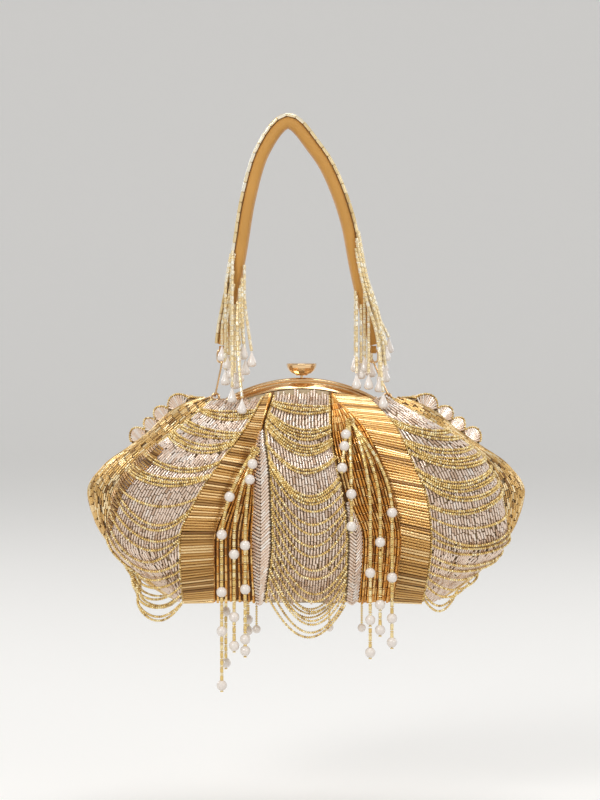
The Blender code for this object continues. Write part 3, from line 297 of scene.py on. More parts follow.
class BagColourSettings(bpy.types.PropertyGroup):
    """Colours of the cloth, the metal and the glass."""
    satin: bpy.props.FloatVectorProperty(
        name="Satin", description="Handle's satin", subtype="COLOR", size=3, default=(0.72, 0.35, 0.062))
    cloth: bpy.props.FloatVectorProperty(
        name="Ground cloth", description="Cloth under the beads", subtype="COLOR", size=3,
        default=(0.70, 0.54, 0.33))
    gold: bpy.props.FloatVectorProperty(
        name="Gold metal", description="Frame, knob and rings", subtype="COLOR", size=3,
        default=(0.90, 0.62, 0.34))
    pearl: bpy.props.FloatVectorProperty(
        name="Pearl", description="Pearls and drops", subtype="COLOR", size=3, default=(0.88, 0.82, 0.75))


class BagStageSettings(bpy.types.PropertyGroup):
    """Camera and floor."""
    distance: bpy.props.FloatProperty(
        name="Camera distance", description="Distance from the bag", default=1.7, unit="LENGTH")
    elevation: bpy.props.FloatProperty(
        name="Camera height angle", description="Angle above the horizon", default=math.radians(3.0),
        subtype="ANGLE")
    view_height: bpy.props.FloatProperty(
        name="View height", description="Height of the picture at the bag", default=0.496, unit="LENGTH")
    floor_z: bpy.props.FloatProperty(
        name="Floor height", description="Height of the floor below the hanging bag", default=-0.43,
        unit="LENGTH")


def settings(kind):
    """The user's settings for the beads, the colours or the stage."""
    return getattr(bpy.context.scene, "bag_" + kind)


# The body's surface

def curve(points, at, column=1):
    """Smooth values of a column of points, without overshoot, at an array of places."""
    rows = np.array(sorted(points))
    places, values = rows[:, 0], rows[:, column]
    at = np.clip(at, places[0], places[-1])
    step = np.clip(np.searchsorted(places, at) - 1, 0, len(places) - 2)
    slope = np.diff(values) / np.diff(places)
    tangent = np.empty(len(places))
    tangent[0], tangent[-1] = slope[0], slope[-1]
    both = slope[:-1] + slope[1:]
    safe = np.where(both == 0, 1.0, both)
    tangent[1:-1] = np.where(slope[:-1] * slope[1:] <= 0, 0.0, 2 * slope[:-1] * slope[1:] / safe)
    width = places[step + 1] - places[step]
    t = (at - places[step]) / width
    return ((1 + 2 * t) * (1 - t) ** 2 * values[step] + t * (1 - t) ** 2 * width * tangent[step]
            + t * t * (3 - 2 * t) * values[step + 1] + t * t * (t - 1) * width * tangent[step + 1])


def blend(low, high, share):
    """Value at a share of the way from low to high."""
    return low + (high - low) * share


def centre_x(z):
    """Middle of the body, which lies a little to the right below the frame."""
    return blend(FRAME_X, BODY_X, np.clip((MOUTH_EDGE_Z - z) / (MOUTH_EDGE_Z - ROUND_Z), 0, 1))


def body_surface(angle, z):
    """Body without its padding: angle 0 is the front, and half a turn the rear."""
    power = blend(SQUARE_MOUTH, ROUND_BODY, np.clip((SQUARE_Z - z) / (SQUARE_Z - ROUND_Z), 0, 1))
    sine = np.sin(angle)
    x = centre_x(z) + sine * curve(OUTLINE, z, 1)
    reach = np.maximum(1 - np.abs(sine) ** power, 0) ** (1 / power)
    return np.stack([x, -np.copysign(reach, np.cos(angle)) * curve(OUTLINE, z, 2), z], -1)


def angle_at(x, z):
    """Front angle of the body's surface at a place across."""
    return np.arcsin(np.clip((x - centre_x(z)) / curve(OUTLINE, z, 1), -LAST_SHARE, LAST_SHARE))


def seam_angle(name, z, shift=0.0):
    """Angle of a seam at a height, shifted across by a distance."""
    share = curve(tuple(zip(SEAM_HEIGHTS, SEAMS[name])), z)
    return angle_at(BODY_X + shift + TIP_REACH * share, z)


def lobe_rise(angle, z):
    """How far the padding lifts the surface, none at the lobes' seams."""
    rise = np.zeros(np.shape(angle))
    height = curve(LOBE_RISE, z)
    for left, right in LOBES.values():
        low, high = seam_angle(left, z), seam_angle(right, z)
        across = np.clip(2 * (angle - low) / (high - low) - 1, -1, 1)
        rise = np.maximum(rise, height * (1 - across ** 4))
    return rise


def padded_surface(angle, z):
    """Body with its padded lobes."""
    base = body_surface(angle, z)
    lift = np.stack([np.sin(angle) / curve(OUTLINE, z, 1), -np.cos(angle) / curve(OUTLINE, z, 2),
                     np.zeros(np.shape(angle))], -1)
    lift /= np.linalg.norm(lift, axis=-1, keepdims=True)
    return base + lift * lobe_rise(angle, z)[..., None]


def surface_normal(angle, z):
    """Outward direction of the padded body."""
    turn, drop = 0.01, 0.0015
    along = padded_surface(angle + turn, z) - padded_surface(angle - turn, z)
    low, high = np.maximum(z - drop, BASE_Z), np.minimum(z + drop, RIM_TOP_Z)
    down = padded_surface(angle, low) - padded_surface(angle, high)
    normal = np.cross(down, along)
    return normal / np.maximum(np.linalg.norm(normal, axis=-1, keepdims=True), 1e-12)


def rim_drop(x):
    """How far the arch of the rim lies below its crown."""
    reach = np.minimum(np.abs(x), RIM_HALF_SPAN)
    return RIM_RADIUS - np.sqrt(RIM_RADIUS ** 2 - reach ** 2)


def plate_depth(x):
    """Depth of the face plate, which runs out into the rim towards the arms."""
    share = np.minimum(np.abs(x) / PLATE_HALF_SPAN, 1.0)
    return blend(PLATE_DEPTH, RIM_DEPTH, share ** 4)


def mouth_z(angle):
    """Height of the cloth's edge under the frame."""
    x = body_surface(angle, np.full(np.shape(angle), MOUTH_EDGE_Z))[..., 0] - FRAME_X
    return np.maximum(RIM_TOP_Z - rim_drop(x) - plate_depth(x) - GAP, MOUTH_EDGE_Z)


class Field:
    """A part of the body's surface, read by a share across (-1 to 1) and a distance down from its top."""

    def __init__(self, angle_of, side="front", columns=41, steps=121):
        self.across = np.linspace(-1, 1, columns)
        v = np.linspace(0, 1, steps)
        u = self.across[:, None]
        start = angle_of(u[:, 0], np.full(columns, MOUTH_EDGE_Z))
        upper = mouth_z(start)
        z = upper[:, None] + (BASE_Z - upper[:, None]) * v[None, :]
        angle = angle_of(np.repeat(u, steps, 1), z)
        point, normal = padded_surface(angle, z), surface_normal(angle, z)
        if side == "rear":
            point, normal = point * (1, -1, 1), normal * (1, -1, 1)
        run = np.linalg.norm(np.diff(point, axis=1), axis=-1)
        down = np.concatenate([np.zeros((columns, 1)), np.cumsum(run, 1)], 1)
        self.lengths = down[:, -1]
        self.reach = float(self.lengths.max())
        self.grid = np.linspace(0, self.reach, 2 * steps)
        self.points = np.stack([[np.interp(self.grid, down[c], point[c, :, k]) for k in range(3)]
                                for c in range(columns)]).transpose(0, 2, 1)
        self.normals = np.stack([[np.interp(self.grid, down[c], normal[c, :, k]) for k in range(3)]
                                 for c in range(columns)]).transpose(0, 2, 1)

    def read(self, table, u, s):
        """Values of a table between its columns and rows."""
        col = np.clip((np.asarray(u, float) + 1) / 2 * (len(self.across) - 1), 0, len(self.across) - 1.0001)
        row = np.clip(np.asarray(s, float) / self.reach * (len(self.grid) - 1), 0, len(self.grid) - 1.0001)
        c, r = col.astype(int), row.astype(int)
        fc, fr = (col - c)[..., None], (row - r)[..., None]
        return ((table[c, r] * (1 - fr) + table[c, r + 1] * fr) * (1 - fc)
                + (table[c + 1, r] * (1 - fr) + table[c + 1, r + 1] * fr) * fc)

    def at(self, u, s, proud=0.0):
        """Points of the surface, or a distance above it."""
        u, s = np.broadcast_arrays(np.asarray(u, float), np.asarray(s, float))
        return self.read(self.points, u, s) + self.normal(u, s) * proud

    def normal(self, u, s):
        """Outward directions."""
        u, s = np.broadcast_arrays(np.asarray(u, float), np.asarray(s, float))
        normal = self.read(self.normals, u, s)
        return normal / np.maximum(np.linalg.norm(normal, axis=-1, keepdims=True), 1e-9)

    def length(self, u):
        """Length of the surface from its top to its foot."""
        return np.interp(u, self.across, self.lengths)

    def width(self, s):
        """Width of the surface at a distance down."""
        row = self.at(self.across, np.full(len(self.across), s))
        return float(distances(row)[-1])


def seam_field(seams, side, margin):
    """Field between two seams, ending at a distance from each."""
    left, right = seams

    def angle_of(u, z):
        return blend(seam_angle(left, z, margin), seam_angle(right, z, -margin), (u + 1) / 2)

    return Field(angle_of, side)


def hand_of(side):
    """-1 for the left and 1 for the right."""
    return -1 if side == "left" else 1


def distances(line):
    """Distance along a line of points at each of them."""
    return np.concatenate([[0], np.cumsum(np.linalg.norm(np.diff(line, axis=0), axis=1))])


def gore_field(side):
    """End gore from the front seam round the tip to the rear seam."""
    hand = hand_of(side)

    def angle_of(u, z):
        start = np.abs(seam_angle(side + "_gore", z, hand * GAP))
        return hand * blend(start, math.pi - start, (u * hand + 1) / 2)

    return Field(angle_of, columns=61)


# Bead templates and rows

def template(make):
    """Vertices and faces of one small bead, made with its length along Z, from -0.5 to 0.5."""
    bm = bmesh.new()
    make(bm)
    bmesh.ops.recalc_face_normals(bm, faces=bm.faces)
    bm.verts.index_update()
    verts = np.array([v.co[:] for v in bm.verts])
    faces = [[v.index for v in f.verts] for f in bm.faces]
    bm.free()
    return verts, faces


def bugle_shape(bm):
    """Six-sided tube of glass."""
    bmesh.ops.create_cone(bm, cap_ends=True, segments=6, radius1=1, radius2=1, depth=1)


def seed_shape(bm):
    """Small round bead."""
    bmesh.ops.create_icosphere(bm, subdivisions=1, radius=1)
    bmesh.ops.scale(bm, verts=bm.verts, vec=(1, 1, 0.5))


def pearl_shape(bm):
    """Round pearl, smooth enough to be seen close."""
    bmesh.ops.create_uvsphere(bm, u_segments=20, v_segments=14, radius=1)
    bmesh.ops.scale(bm, verts=bm.verts, vec=(1, 1, 0.5))


def drop_shape(bm):
    """Teardrop with its point up."""
    profile = [(0.0, 0.5), (0.10, 0.46), (0.22, 0.36), (0.42, 0.20), (0.68, 0.02), (0.90, -0.14),
               (1.0, -0.28), (0.92, -0.40), (0.62, -0.47), (0.0, -0.5)]
    turned(bm, profile, 16, 1e-5)


def turned(bm, profile, steps, merge):
    """Spin a profile of radii and heights about Z into a closed form."""
    verts = [bm.verts.new((r, 0, z)) for r, z in profile]
    edges = [bm.edges.new(pair) for pair in zip(verts, verts[1:])]
    bmesh.ops.spin(bm, geom=verts + edges, cent=(0, 0, 0), axis=(0, 0, 1), angle=2 * math.pi, steps=steps,
                   use_merge=True)
    bmesh.ops.remove_doubles(bm, verts=bm.verts, dist=merge)


class Beads:
    """Gathers beads, each from one end point to the other, and makes them one piece."""

    def __init__(self):
        self.batches = []

    def add(self, shape, starts, ends, radius, tone):
        """Note one bead, or an array of them, between start and end points."""
        starts, ends = np.atleast_2d(starts), np.atleast_2d(ends)
        if not len(starts):
            return
        radius = np.broadcast_to(radius, len(starts)).astype(float)
        tone = np.broadcast_to(tone, len(starts)).astype(float)
        self.batches.append((shape, starts, ends, radius, tone))

    def make(self, name, material, smooth_below=65):
        """Copy the templates to all the beads and make them one mesh, each bead with its own tone."""
        verts, loops, starts, totals, tones = [], [], [], [], []
        offset = loop_offset = 0
        for shape, a, b, radius, tone in self.batches:
            base, faces = shape
            axis = b - a
            length = np.maximum(np.linalg.norm(axis, axis=1), 1e-9)
            z = axis / length[:, None]
            guide = np.where(np.abs(z[:, 1:2]) < 0.9, [[0.0, 1.0, 0.0]], [[1.0, 0.0, 0.0]])
            x = np.cross(guide, z)
            x /= np.linalg.norm(x, axis=1, keepdims=True)
            y = np.cross(z, x)
            centre = (a + b) / 2
            points = (centre[:, None, :] + x[:, None, :] * (base[None, :, 0:1] * radius[:, None, None])
                      + y[:, None, :] * (base[None, :, 1:2] * radius[:, None, None])
                      + z[:, None, :] * (base[None, :, 2:3] * length[:, None, None]))
            count, size = len(a), len(base)
            flat = np.array([i for face in faces for i in face])
            sizes = np.array([len(face) for face in faces])
            verts.append(points.reshape(-1, 3))
            loops.append((flat[None, :] + (np.arange(count) * size)[:, None] + offset).ravel())
            begin = np.concatenate([[0], np.cumsum(sizes)[:-1]])
            starts.append((begin[None, :] + (np.arange(count) * sizes.sum())[:, None] + loop_offset).ravel())
            totals.append(np.tile(sizes, count))
            tones.append(np.repeat(tone, size))
            offset += count * size
            loop_offset += count * int(sizes.sum())
        verts, loops = np.concatenate(verts), np.concatenate(loops)
        starts, totals = np.concatenate(starts), np.concatenate(totals)
        mesh = bpy.data.meshes.new(name)
        mesh.vertices.add(len(verts))
        mesh.vertices.foreach_set("co", verts.astype(np.float32).ravel())
        mesh.loops.add(len(loops))
        mesh.loops.foreach_set("vertex_index", loops.astype(np.int32))
        mesh.polygons.add(len(starts))
        mesh.polygons.foreach_set("loop_start", starts.astype(np.int32))
        mesh.polygons.foreach_set("use_smooth", np.ones(len(starts), bool))
        tone = mesh.attributes.new("tone", "FLOAT", "POINT")
        tone.data.foreach_set("value", np.concatenate(tones).astype(np.float32))
        mesh.update(calc_edges=True)
        mesh.validate()
        mesh.set_sharp_from_angle(angle=math.radians(smooth_below))
        piece = bpy.data.objects.new(name, mesh)
        mesh.materials.append(material)
        bpy.context.collection.objects.link(piece)
        return piece


def resample(points, pitch):
    """Points at an even pitch along a polyline."""
    points = np.asarray(points)
    run = distances(points)
    count = max(int(run[-1] / pitch), 1)
    at = np.linspace(0, run[-1], count + 1)
    return np.stack([np.interp(at, run, points[:, k]) for k in range(3)], -1)


def bead_line(beads, shape, route, pitch, radius, tone=None, gap=0.06):
    """Beads end to end along a route, with random tones if none is given."""
    points = resample(route, pitch)
    a, b = points[:-1], points[1:]
    trim = (b - a) * gap / 2
    beads.add(shape, a + trim, b - trim, radius, tones(len(a)) if tone is None else tone)


def bead_pattern(beads, starts, steps, pattern):
    """The same few beads in each step of a strand: shape, shares of the step, radius and darkest tone."""
    for shape, begin, end, radius, darkest in pattern:
        beads.add(shape, starts + steps * begin, starts + steps * end, radius, tones(len(starts), darkest))


RANDOM = np.random.default_rng(20)


def tones(count, low=0.0, high=1.0):
    """Random tones, which the bead materials turn into dark, plain and bright glass."""
    return RANDOM.uniform(low, high, count)


def clear_of_clips(a, b):
    """Which beads keep off the spot where the clip's wire comes down as the handle lies over."""
    along = np.clip(np.sum((mirrored(b) - mirrored(a)) * (CLIP_REST - mirrored(a)), axis=1)
                    / np.maximum(np.sum((b - a) ** 2, axis=1), 1e-12), 0, 1)[:, None]
    nearest = blend(mirrored(a), mirrored(b), along)
    return np.linalg.norm(nearest - CLIP_REST, axis=1) > CLIP_CLEAR


def mirrored(points):
    """Points brought to the rear right quarter of the frame."""
    return np.abs(points - (FRAME_X, 0, 0)) * (1, 1, -1)


def fill_rows(beads, field, length, radius, pitch, lower=1.0):
    """Strings of bugles sewn side by side down the field; strings come and go with its width.

    Bead tones at the foot of the field are "lower" times those at its top: painted shade, darker glass
    towards the foot.
    """
    phase = RANDOM.uniform(-0.5, 0.5, STRING_PHASES)
    fine = np.linspace(-1, 1, ROW_STEPS)
    for row in range(int(field.reach / length) + 2):
        s = (row + 0.5) * length
        run = distances(field.at(fine, np.full(ROW_STEPS, min(s, field.reach))))
        count = int(run[-1] / pitch / STRINGS_PER_STEP) * STRINGS_PER_STEP
        if count < STRINGS_PER_STEP:
            continue
        at = (np.arange(count) + 0.5) * run[-1] / count
        u = np.interp(at, run, fine)
        mid = s + phase[np.arange(count) - count // 2] * length
        fits = (mid + length / 2 < field.length(u) + STRING_END) & (mid - length / 2 > -STRING_END)
        u, mid = u[fits], mid[fits]
        if not len(u):
            continue
        tilt = RANDOM.normal(0, STRING_LEAN, len(u))
        proud = radius + RANDOM.uniform(0, STRING_RISE, len(u))
        a = field.at(u, mid - length * GLASS_SHARE)
        b = field.at(u, mid + length * GLASS_SHARE)
        normal = field.normal(u, mid)
        side = np.cross(normal, b - a)
        side /= np.maximum(np.linalg.norm(side, axis=1, keepdims=True), 1e-9)
        a = a + normal * proud[:, None] + side * tilt[:, None]
        b = b + normal * proud[:, None] - side * tilt[:, None]
        # Painted shade: each bead's random tone is darkened towards the foot of the field
        tone = tones(len(u)) * blend(1.0, lower, np.clip(mid / field.reach, 0, 1))
        clear = clear_of_clips(a, b)
        beads.add(BUGLE, a[clear], b[clear], radius, tone[clear])


BUGLE, SEED, PEARL_BALL, DROP = (
    template(make) for make in (bugle_shape, seed_shape, pearl_shape, drop_shape))
PLEAT_PATTERN = ((BUGLE, 0, 0.78, 0.00082, 0.0), (SEED, 0.80, 0.98, 0.00095, 0.4))
FRINGE_PATTERN = ((BUGLE, 0, 0.66, 0.00105, 0.2), (SEED, 0.66, 0.98, 0.00125, 0.4))
PEARL_STRAND_PATTERN = (
    (BUGLE, 0, 0.50, 0.00115, 0.2), (SEED, 0.50, 0.74, 0.00130, 0.4), (SEED, 0.75, 0.99, 0.00135, 0.2))


# Materials

def node(tree, kind, inputs=None, **options):
    """New node with its options, and with a value or a link for each input that is given."""
    made = tree.nodes.new(kind)
    for key, value in options.items():
        setattr(made, key, value)
    for key, value in (inputs or {}).items():
        if isinstance(value, bpy.types.NodeSocket):
            tree.links.new(value, made.inputs[key])
        else:
            made.inputs[key].default_value = value
    return made


def new_group(name, inputs, outputs):
    """Node group with named inputs of (name, kind, default) and named outputs."""
    group = bpy.data.node_groups.new(name, "ShaderNodeTree")
    for label, kind, default in inputs:
        socket = group.interface.new_socket(label, in_out="INPUT", socket_type=kind)
        socket.default_value = default
    for label, kind in outputs:
        group.interface.new_socket(label, in_out="OUTPUT", socket_type=kind)
    return group, group.nodes.new("NodeGroupInput"), group.nodes.new("NodeGroupOutput")


def weave_group():
    """Fine plain weave: height of the threads and a slow change of shade, from object coordinates."""
    group, given, out = new_group("Fine weave", (
        ("Thread size", "NodeSocketFloat", 0.0005), ("Unevenness", "NodeSocketFloat", 0.3)), (
        ("Height", "NodeSocketFloat"), ("Shade", "NodeSocketFloat")))
    where = node(group, "ShaderNodeTexCoord").outputs["Object"]
    scale = node(group, "ShaderNodeMath", {0: 1.0, 1: given.outputs["Thread size"]}, operation="DIVIDE")
    waves = []
    for direction in ("X", "Z"):
        wave = node(group, "ShaderNodeTexWave", {
            "Vector": where, "Scale": scale.outputs[0], "Distortion": 1.5, "Detail": 1.0},
            wave_type="BANDS", bands_direction=direction)
        waves.append(wave.outputs["Fac"])
    threads = node(group, "ShaderNodeMath", {0: waves[0], 1: waves[1]}, operation="MULTIPLY")
    slow = node(group, "ShaderNodeTexNoise", {"Vector": where, "Scale": 60.0, "Detail": 3.0})
    shade = node(group, "ShaderNodeMath", {0: slow.outputs["Fac"], 1: given.outputs["Unevenness"]},
                 operation="MULTIPLY")
    group.links.new(threads.outputs[0], out.inputs["Height"])
    group.links.new(shade.outputs[0], out.inputs["Shade"])
    return group


def bead_colour_group():
    """Colour and roughness of one bead from its own tone, from dark glass over its main colour to bright."""
    group, given, out = new_group("Bead colour", (
        ("Dark", "NodeSocketColor", (0.2, 0.1, 0.05, 1)), ("Main", "NodeSocketColor", (0.7, 0.6, 0.5, 1)),
        ("Bright", "NodeSocketColor", (1, 1, 1, 1)), ("Dark share", "NodeSocketFloat", 0.3),
        ("Rough low", "NodeSocketFloat", 0.12), ("Rough high", "NodeSocketFloat", 0.35)), (
        ("Colour", "NodeSocketColor"), ("Roughness", "NodeSocketFloat")))
    tone = node(group, "ShaderNodeAttribute", attribute_name="tone").outputs["Fac"]
    low = node(group, "ShaderNodeMapRange", {"Value": tone, "From Min": 0.0, "To Min": 0.0, "To Max": 1.0})
    group.links.new(given.outputs["Dark share"], low.inputs["From Max"])
    high = node(group, "ShaderNodeMapRange", {"Value": tone, "From Min": 0.6, "From Max": 1.0})
    first = node(group, "ShaderNodeMix", {0: low.outputs[0]}, data_type="RGBA")
    group.links.new(given.outputs["Dark"], first.inputs[6])
    group.links.new(given.outputs["Main"], first.inputs[7])
    second = node(group, "ShaderNodeMix", {0: high.outputs[0], 6: first.outputs[2]}, data_type="RGBA")
    group.links.new(given.outputs["Bright"], second.inputs[7])
    rough = node(group, "ShaderNodeMapRange", {"Value": tone})
    group.links.new(given.outputs["Rough high"], rough.inputs["To Min"])
    group.links.new(given.outputs["Rough low"], rough.inputs["To Max"])
    group.links.new(second.outputs[2], out.inputs["Colour"])
    group.links.new(rough.outputs[0], out.inputs["Roughness"])
    return group


def grouped(tree, group, **values):
    """Node group used in a material, with values for its inputs."""
    made = tree.nodes.new("ShaderNodeGroup")
    made.node_tree = group
    for label, value in values.items():
        made.inputs[label.replace("_", " ")].default_value = value
    return made


def start_material(name, **sockets):
    """Material, its node tree and its shader, with values for the shader's sockets."""
    made = bpy.data.materials.new(name)
    made.use_nodes = True
    shader = made.node_tree.nodes["Principled BSDF"]
    for label, value in sockets.items():
        shader.inputs[label.replace("_", " ")].default_value = value
    return made, made.node_tree, shader


def bead_material(name, group, dark, main, bright, metallic, rough, dark_share=0.3):
    """Coated glass over a metal lining, whose colour and roughness follow each bead's tone."""
    made, tree, shader = start_material(name, Metallic=metallic, Coat_Weight=0.4, Coat_Roughness=0.08)
    colour = grouped(tree, group, Dark=(*dark, 1), Main=(*main, 1), Bright=(*bright, 1),
                     Dark_share=dark_share, Rough_low=rough[0], Rough_high=rough[1])
    tree.links.new(colour.outputs["Colour"], shader.inputs["Base Color"])
    tree.links.new(colour.outputs["Roughness"], shader.inputs["Roughness"])
    return made


def cloth_material(name, group, colour, thread, roughness, sheen, bump):
    """Fine woven cloth."""
    made, tree, shader = start_material(name, Roughness=roughness, Sheen_Weight=sheen, Metallic=0.0)
    weave = grouped(tree, group, Thread_size=thread, Unevenness=0.5)
    dark = tuple(c * 0.62 for c in colour)
    mix = node(tree, "ShaderNodeMix", {0: weave.outputs["Shade"], 6: (*colour, 1), 7: (*dark, 1)},
               data_type="RGBA")
    tree.links.new(mix.outputs[2], shader.inputs["Base Color"])
    raised = node(tree, "ShaderNodeBump", {"Height": weave.outputs["Height"], "Strength": bump,
                                           "Distance": 0.0002})
    tree.links.new(raised.outputs[0], shader.inputs["Normal"])
    return made


def metal_material(name, colour, roughness):
    """Polished metal with faint smears."""
    made, tree, shader = start_material(name, Metallic=1.0)
    where = node(tree, "ShaderNodeTexCoord").outputs["Object"]
    worn = node(tree, "ShaderNodeTexNoise", {"Vector": where, "Scale": 240.0, "Detail": 4.0})
    rough = node(tree, "ShaderNodeMapRange", {"Value": worn.outputs["Fac"], "To Min": roughness * 0.7,
                                              "To Max": roughness * 1.6})
    tree.links.new(rough.outputs[0], shader.inputs["Roughness"])
    tint = node(tree, "ShaderNodeMix", {0: worn.outputs["Fac"], 6: (*colour, 1),
                                        7: (*(c * 0.86 for c in colour), 1)}, data_type="RGBA")
    tree.links.new(tint.outputs[2], shader.inputs["Base Color"])
    return made


def pearl_material(name, colour):
    """Coated pearl with a faint rose cloud."""
    made, tree, shader = start_material(name, Roughness=0.22, Coat_Weight=1.0, Coat_Roughness=0.04,
                                        Sheen_Weight=0.2)
    where = node(tree, "ShaderNodeTexCoord").outputs["Object"]
    cloud = node(tree, "ShaderNodeTexNoise", {"Vector": where, "Scale": 300.0, "Detail": 2.0})
    rose = (colour[0] * 0.96, colour[1] * 0.91, colour[2] * 0.90)
    tint = node(tree, "ShaderNodeMix", {0: cloud.outputs["Fac"], 6: (*colour, 1), 7: (*rose, 1)},
                data_type="RGBA")
    tree.links.new(tint.outputs[2], shader.inputs["Base Color"])
    return made


# Cloth: name, colour or its setting, thread, roughness, sheen and strength of the weave
CLOTHS = {
    "satin": ("Amber satin", "satin", 0.0007, 0.45, 0.25, 0.5),
    "cloth": ("Ground cloth", "cloth", 0.0005, 0.75, 0.1, 0.6),
    "lining": ("Lining cloth", (0.55, 0.40, 0.20), 0.0006, 0.8, 0.1, 0.5),
    "pleat cloth": ("Pleat cloth", (0.34, 0.16, 0.045), 0.0005, 0.7, 0.1, 0.6),
}

# Glass: name, dark, plain and bright colours, metal lining, roughness, and the share of dark beads if not 0.3
GLASSES = {
    "silver bugles": ("Silver-lined glass", (0.56, 0.37, 0.24), (0.88, 0.71, 0.58), (1.0, 0.95, 0.89), 0.45,
                      (0.14, 0.32), 0.2),
    "gold seeds": ("Gold seed beads", (0.44, 0.26, 0.06), (0.82, 0.58, 0.20), (1.0, 0.88, 0.54), 0.55,
                   (0.15, 0.35)),
    "bronze bugles": ("Bronze glass", (0.26, 0.12, 0.03), (0.74, 0.46, 0.15), (1.0, 0.82, 0.50), 0.65,
                      (0.14, 0.34)),
    "ladder bugles": ("Antique gold bugles", (0.24, 0.11, 0.025), (0.60, 0.34, 0.10), (0.95, 0.70, 0.36),
                      0.75, (0.16, 0.36)),
    "amber bugles": ("Amber glass", (0.34, 0.11, 0.01), (0.80, 0.37, 0.06), (1.0, 0.70, 0.28), 0.55,
                     (0.14, 0.34)),
    "champagne beads": ("Champagne glass", (0.58, 0.38, 0.12), (0.92, 0.74, 0.42), (1.0, 0.95, 0.80), 0.45,
                        (0.14, 0.34)),
}
MATERIALS = {}


def finish_of(name):
    """The bag's materials, made once from the colour settings."""
    if not MATERIALS:
        colours = settings("colours")
        weave, bead = weave_group(), bead_colour_group()
        for kind, (label, colour, *look) in CLOTHS.items():
            colour = getattr(colours, colour)[:] if isinstance(colour, str) else colour
            MATERIALS[kind] = cloth_material(label, weave, colour, *look)
        for kind, (label, *look) in GLASSES.items():
            MATERIALS[kind] = bead_material(label, bead, *look)
        MATERIALS["gold"] = metal_material("Polished gold", colours.gold[:], 0.14)
        MATERIALS["pearl"] = pearl_material("Pearl", colours.pearl[:])
    return MATERIALS[name]


# Cloth and beads of the body

def finish_mesh(name, bm, material, sharp=SOFT):
    """The bmesh as a piece of its own, smooth apart from edges sharper than an angle in degrees."""
    mesh = bpy.data.meshes.new(name)
    bm.to_mesh(mesh)
    bm.free()
    if sharp:
        mesh.shade_smooth()
        mesh.set_sharp_from_angle(angle=math.radians(sharp))
    mesh.materials.append(material)
    piece = bpy.data.objects.new(name, mesh)
    bpy.context.collection.objects.link(piece)
    return piece


def shaped_grid(columns, rows, places_of):
    """Grid whose points go where a function of its two shares, from -1 to 1, puts them."""
    bm = bmesh.new()
    bmesh.ops.create_grid(bm, x_segments=columns, y_segments=rows, size=1)
    uv = np.array([v.co[:2] for v in bm.verts])
    for vert, place in zip(bm.verts, places_of(uv[:, 0], uv[:, 1])):
        vert.co = place
    return bm


def surface_piece(name, field, material, grid, thickness, inset):
    """Sheet of cloth a little below a field's surface, given its thickness inwards."""
    bm = shaped_grid(*grid, lambda u, v: field.at(u, field.length(u) * (1 - v) / 2, -inset))
    bm.normal_update()
    facing = sum((f.normal for f in bm.faces), Vector())
    if facing.dot(Vector(field.normal(0.0, field.reach / 2))) < 0:
        bmesh.ops.reverse_faces(bm, faces=bm.faces)
        bm.normal_update()
    bmesh.ops.solidify(bm, geom=bm.faces, thickness=thickness)
    bmesh.ops.recalc_face_normals(bm, faces=bm.faces)
    return finish_mesh(name, bm, material, ALL_SMOOTH)


FIELDS = {}


def field(kind, name, side="front"):
    """Field of a lobe, its swags or a gore by name, or of a band or its under cloth by seams, made once."""
    key = (kind, name, side)
    if key not in FIELDS:
        seams = {"lobe": LOBES, "swag": SWAG_FIELDS}.get(kind, {}).get(name, name)
        FIELDS[key] = gore_field(name) if kind == "gore" else seam_field(seams, side, SEAM_MARGINS[kind])
    return FIELDS[key]


def fold(piece):
    """Piece keeps its place, baked into its mesh; it is not bent."""
    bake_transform(piece)


def ride_front(piece, side):
    """Front cloth and beads keep their place, baked into their mesh; rear ones go with the pouch."""
    if side == "front":
        fold(piece)
    else:
        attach(piece, "pouch")


def make_lobe(side, name):
    """Padded lobe of ground cloth, covered with rows of silver-lined bugles."""
    nodes = ["rear_lobe_" + name] if side == "rear" else ["front_lobe_" + name, "front_lobe_top_" + name]
    cloth = surface_piece(f"{side}_lobe_{name}_cloth", field("lobe", name, side), finish_of("cloth"),
                          *LOBE_CLOTH)
    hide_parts(*nodes)
    ride_front(cloth, side)
    beads, length, radius = Beads(), settings("beads").bugle_length, settings("beads").bugle_radius
    # Lobe bugles carry painted shade, darker towards each lobe's foot
    fill_rows(beads, field("swag", name, side), length, radius, radius * LOBE_STRING_PITCH, LOBE_FOOT_PAINTED_SHADE)
    piece = beads.make(f"{side}_lobe_{name}_bugles", finish_of("silver bugles"))
    ride_front(piece, side)


def swag_route(lobe, side, ends, proud):
    """A strand's route from seam to seam: over the padding, and free below it."""
    left, middle, right = (h / 1000 for h in ends)
    t = np.linspace(0, 1, SWAG_STEPS)
    anchors = [body_surface(seam_angle(seam, z, shift), z)[0]
               for seam, z, shift in zip(SWAG_FIELDS[lobe], (left, right), (SWAG_INSET, -SWAG_INSET))]
    z = blend(left, right, t) - ((left + right) / 2 - middle) * (1 - (2 * t - 1) ** 2)
    x = blend(anchors[0], anchors[1], t)
    held = np.maximum(z, HANG_Z)
    angle = angle_at(x, held)
    point = padded_surface(angle, held) + surface_normal(angle, held) * proud
    outside = np.abs(x - body_surface(angle, held)[:, 0]) > 0.0002
    point[:, 0] = np.where(outside, x, point[:, 0])
    point[:, 2] = np.where(held > z, z, point[:, 2])
    point[:, 1] += np.clip((HANG_Z - z) / SWAG_FREE_DROP, 0, 1) * SWAG_STANDOFF
    return point if side == "front" else point * (1, -1, 1)


def smoothed(route, passes=3):
    """Route with its small steps taken out, between fixed ends."""
    for _ in range(passes):
        route[1:-1] = (route[:-2] + 2 * route[1:-1] + route[2:]) / 4
    return route


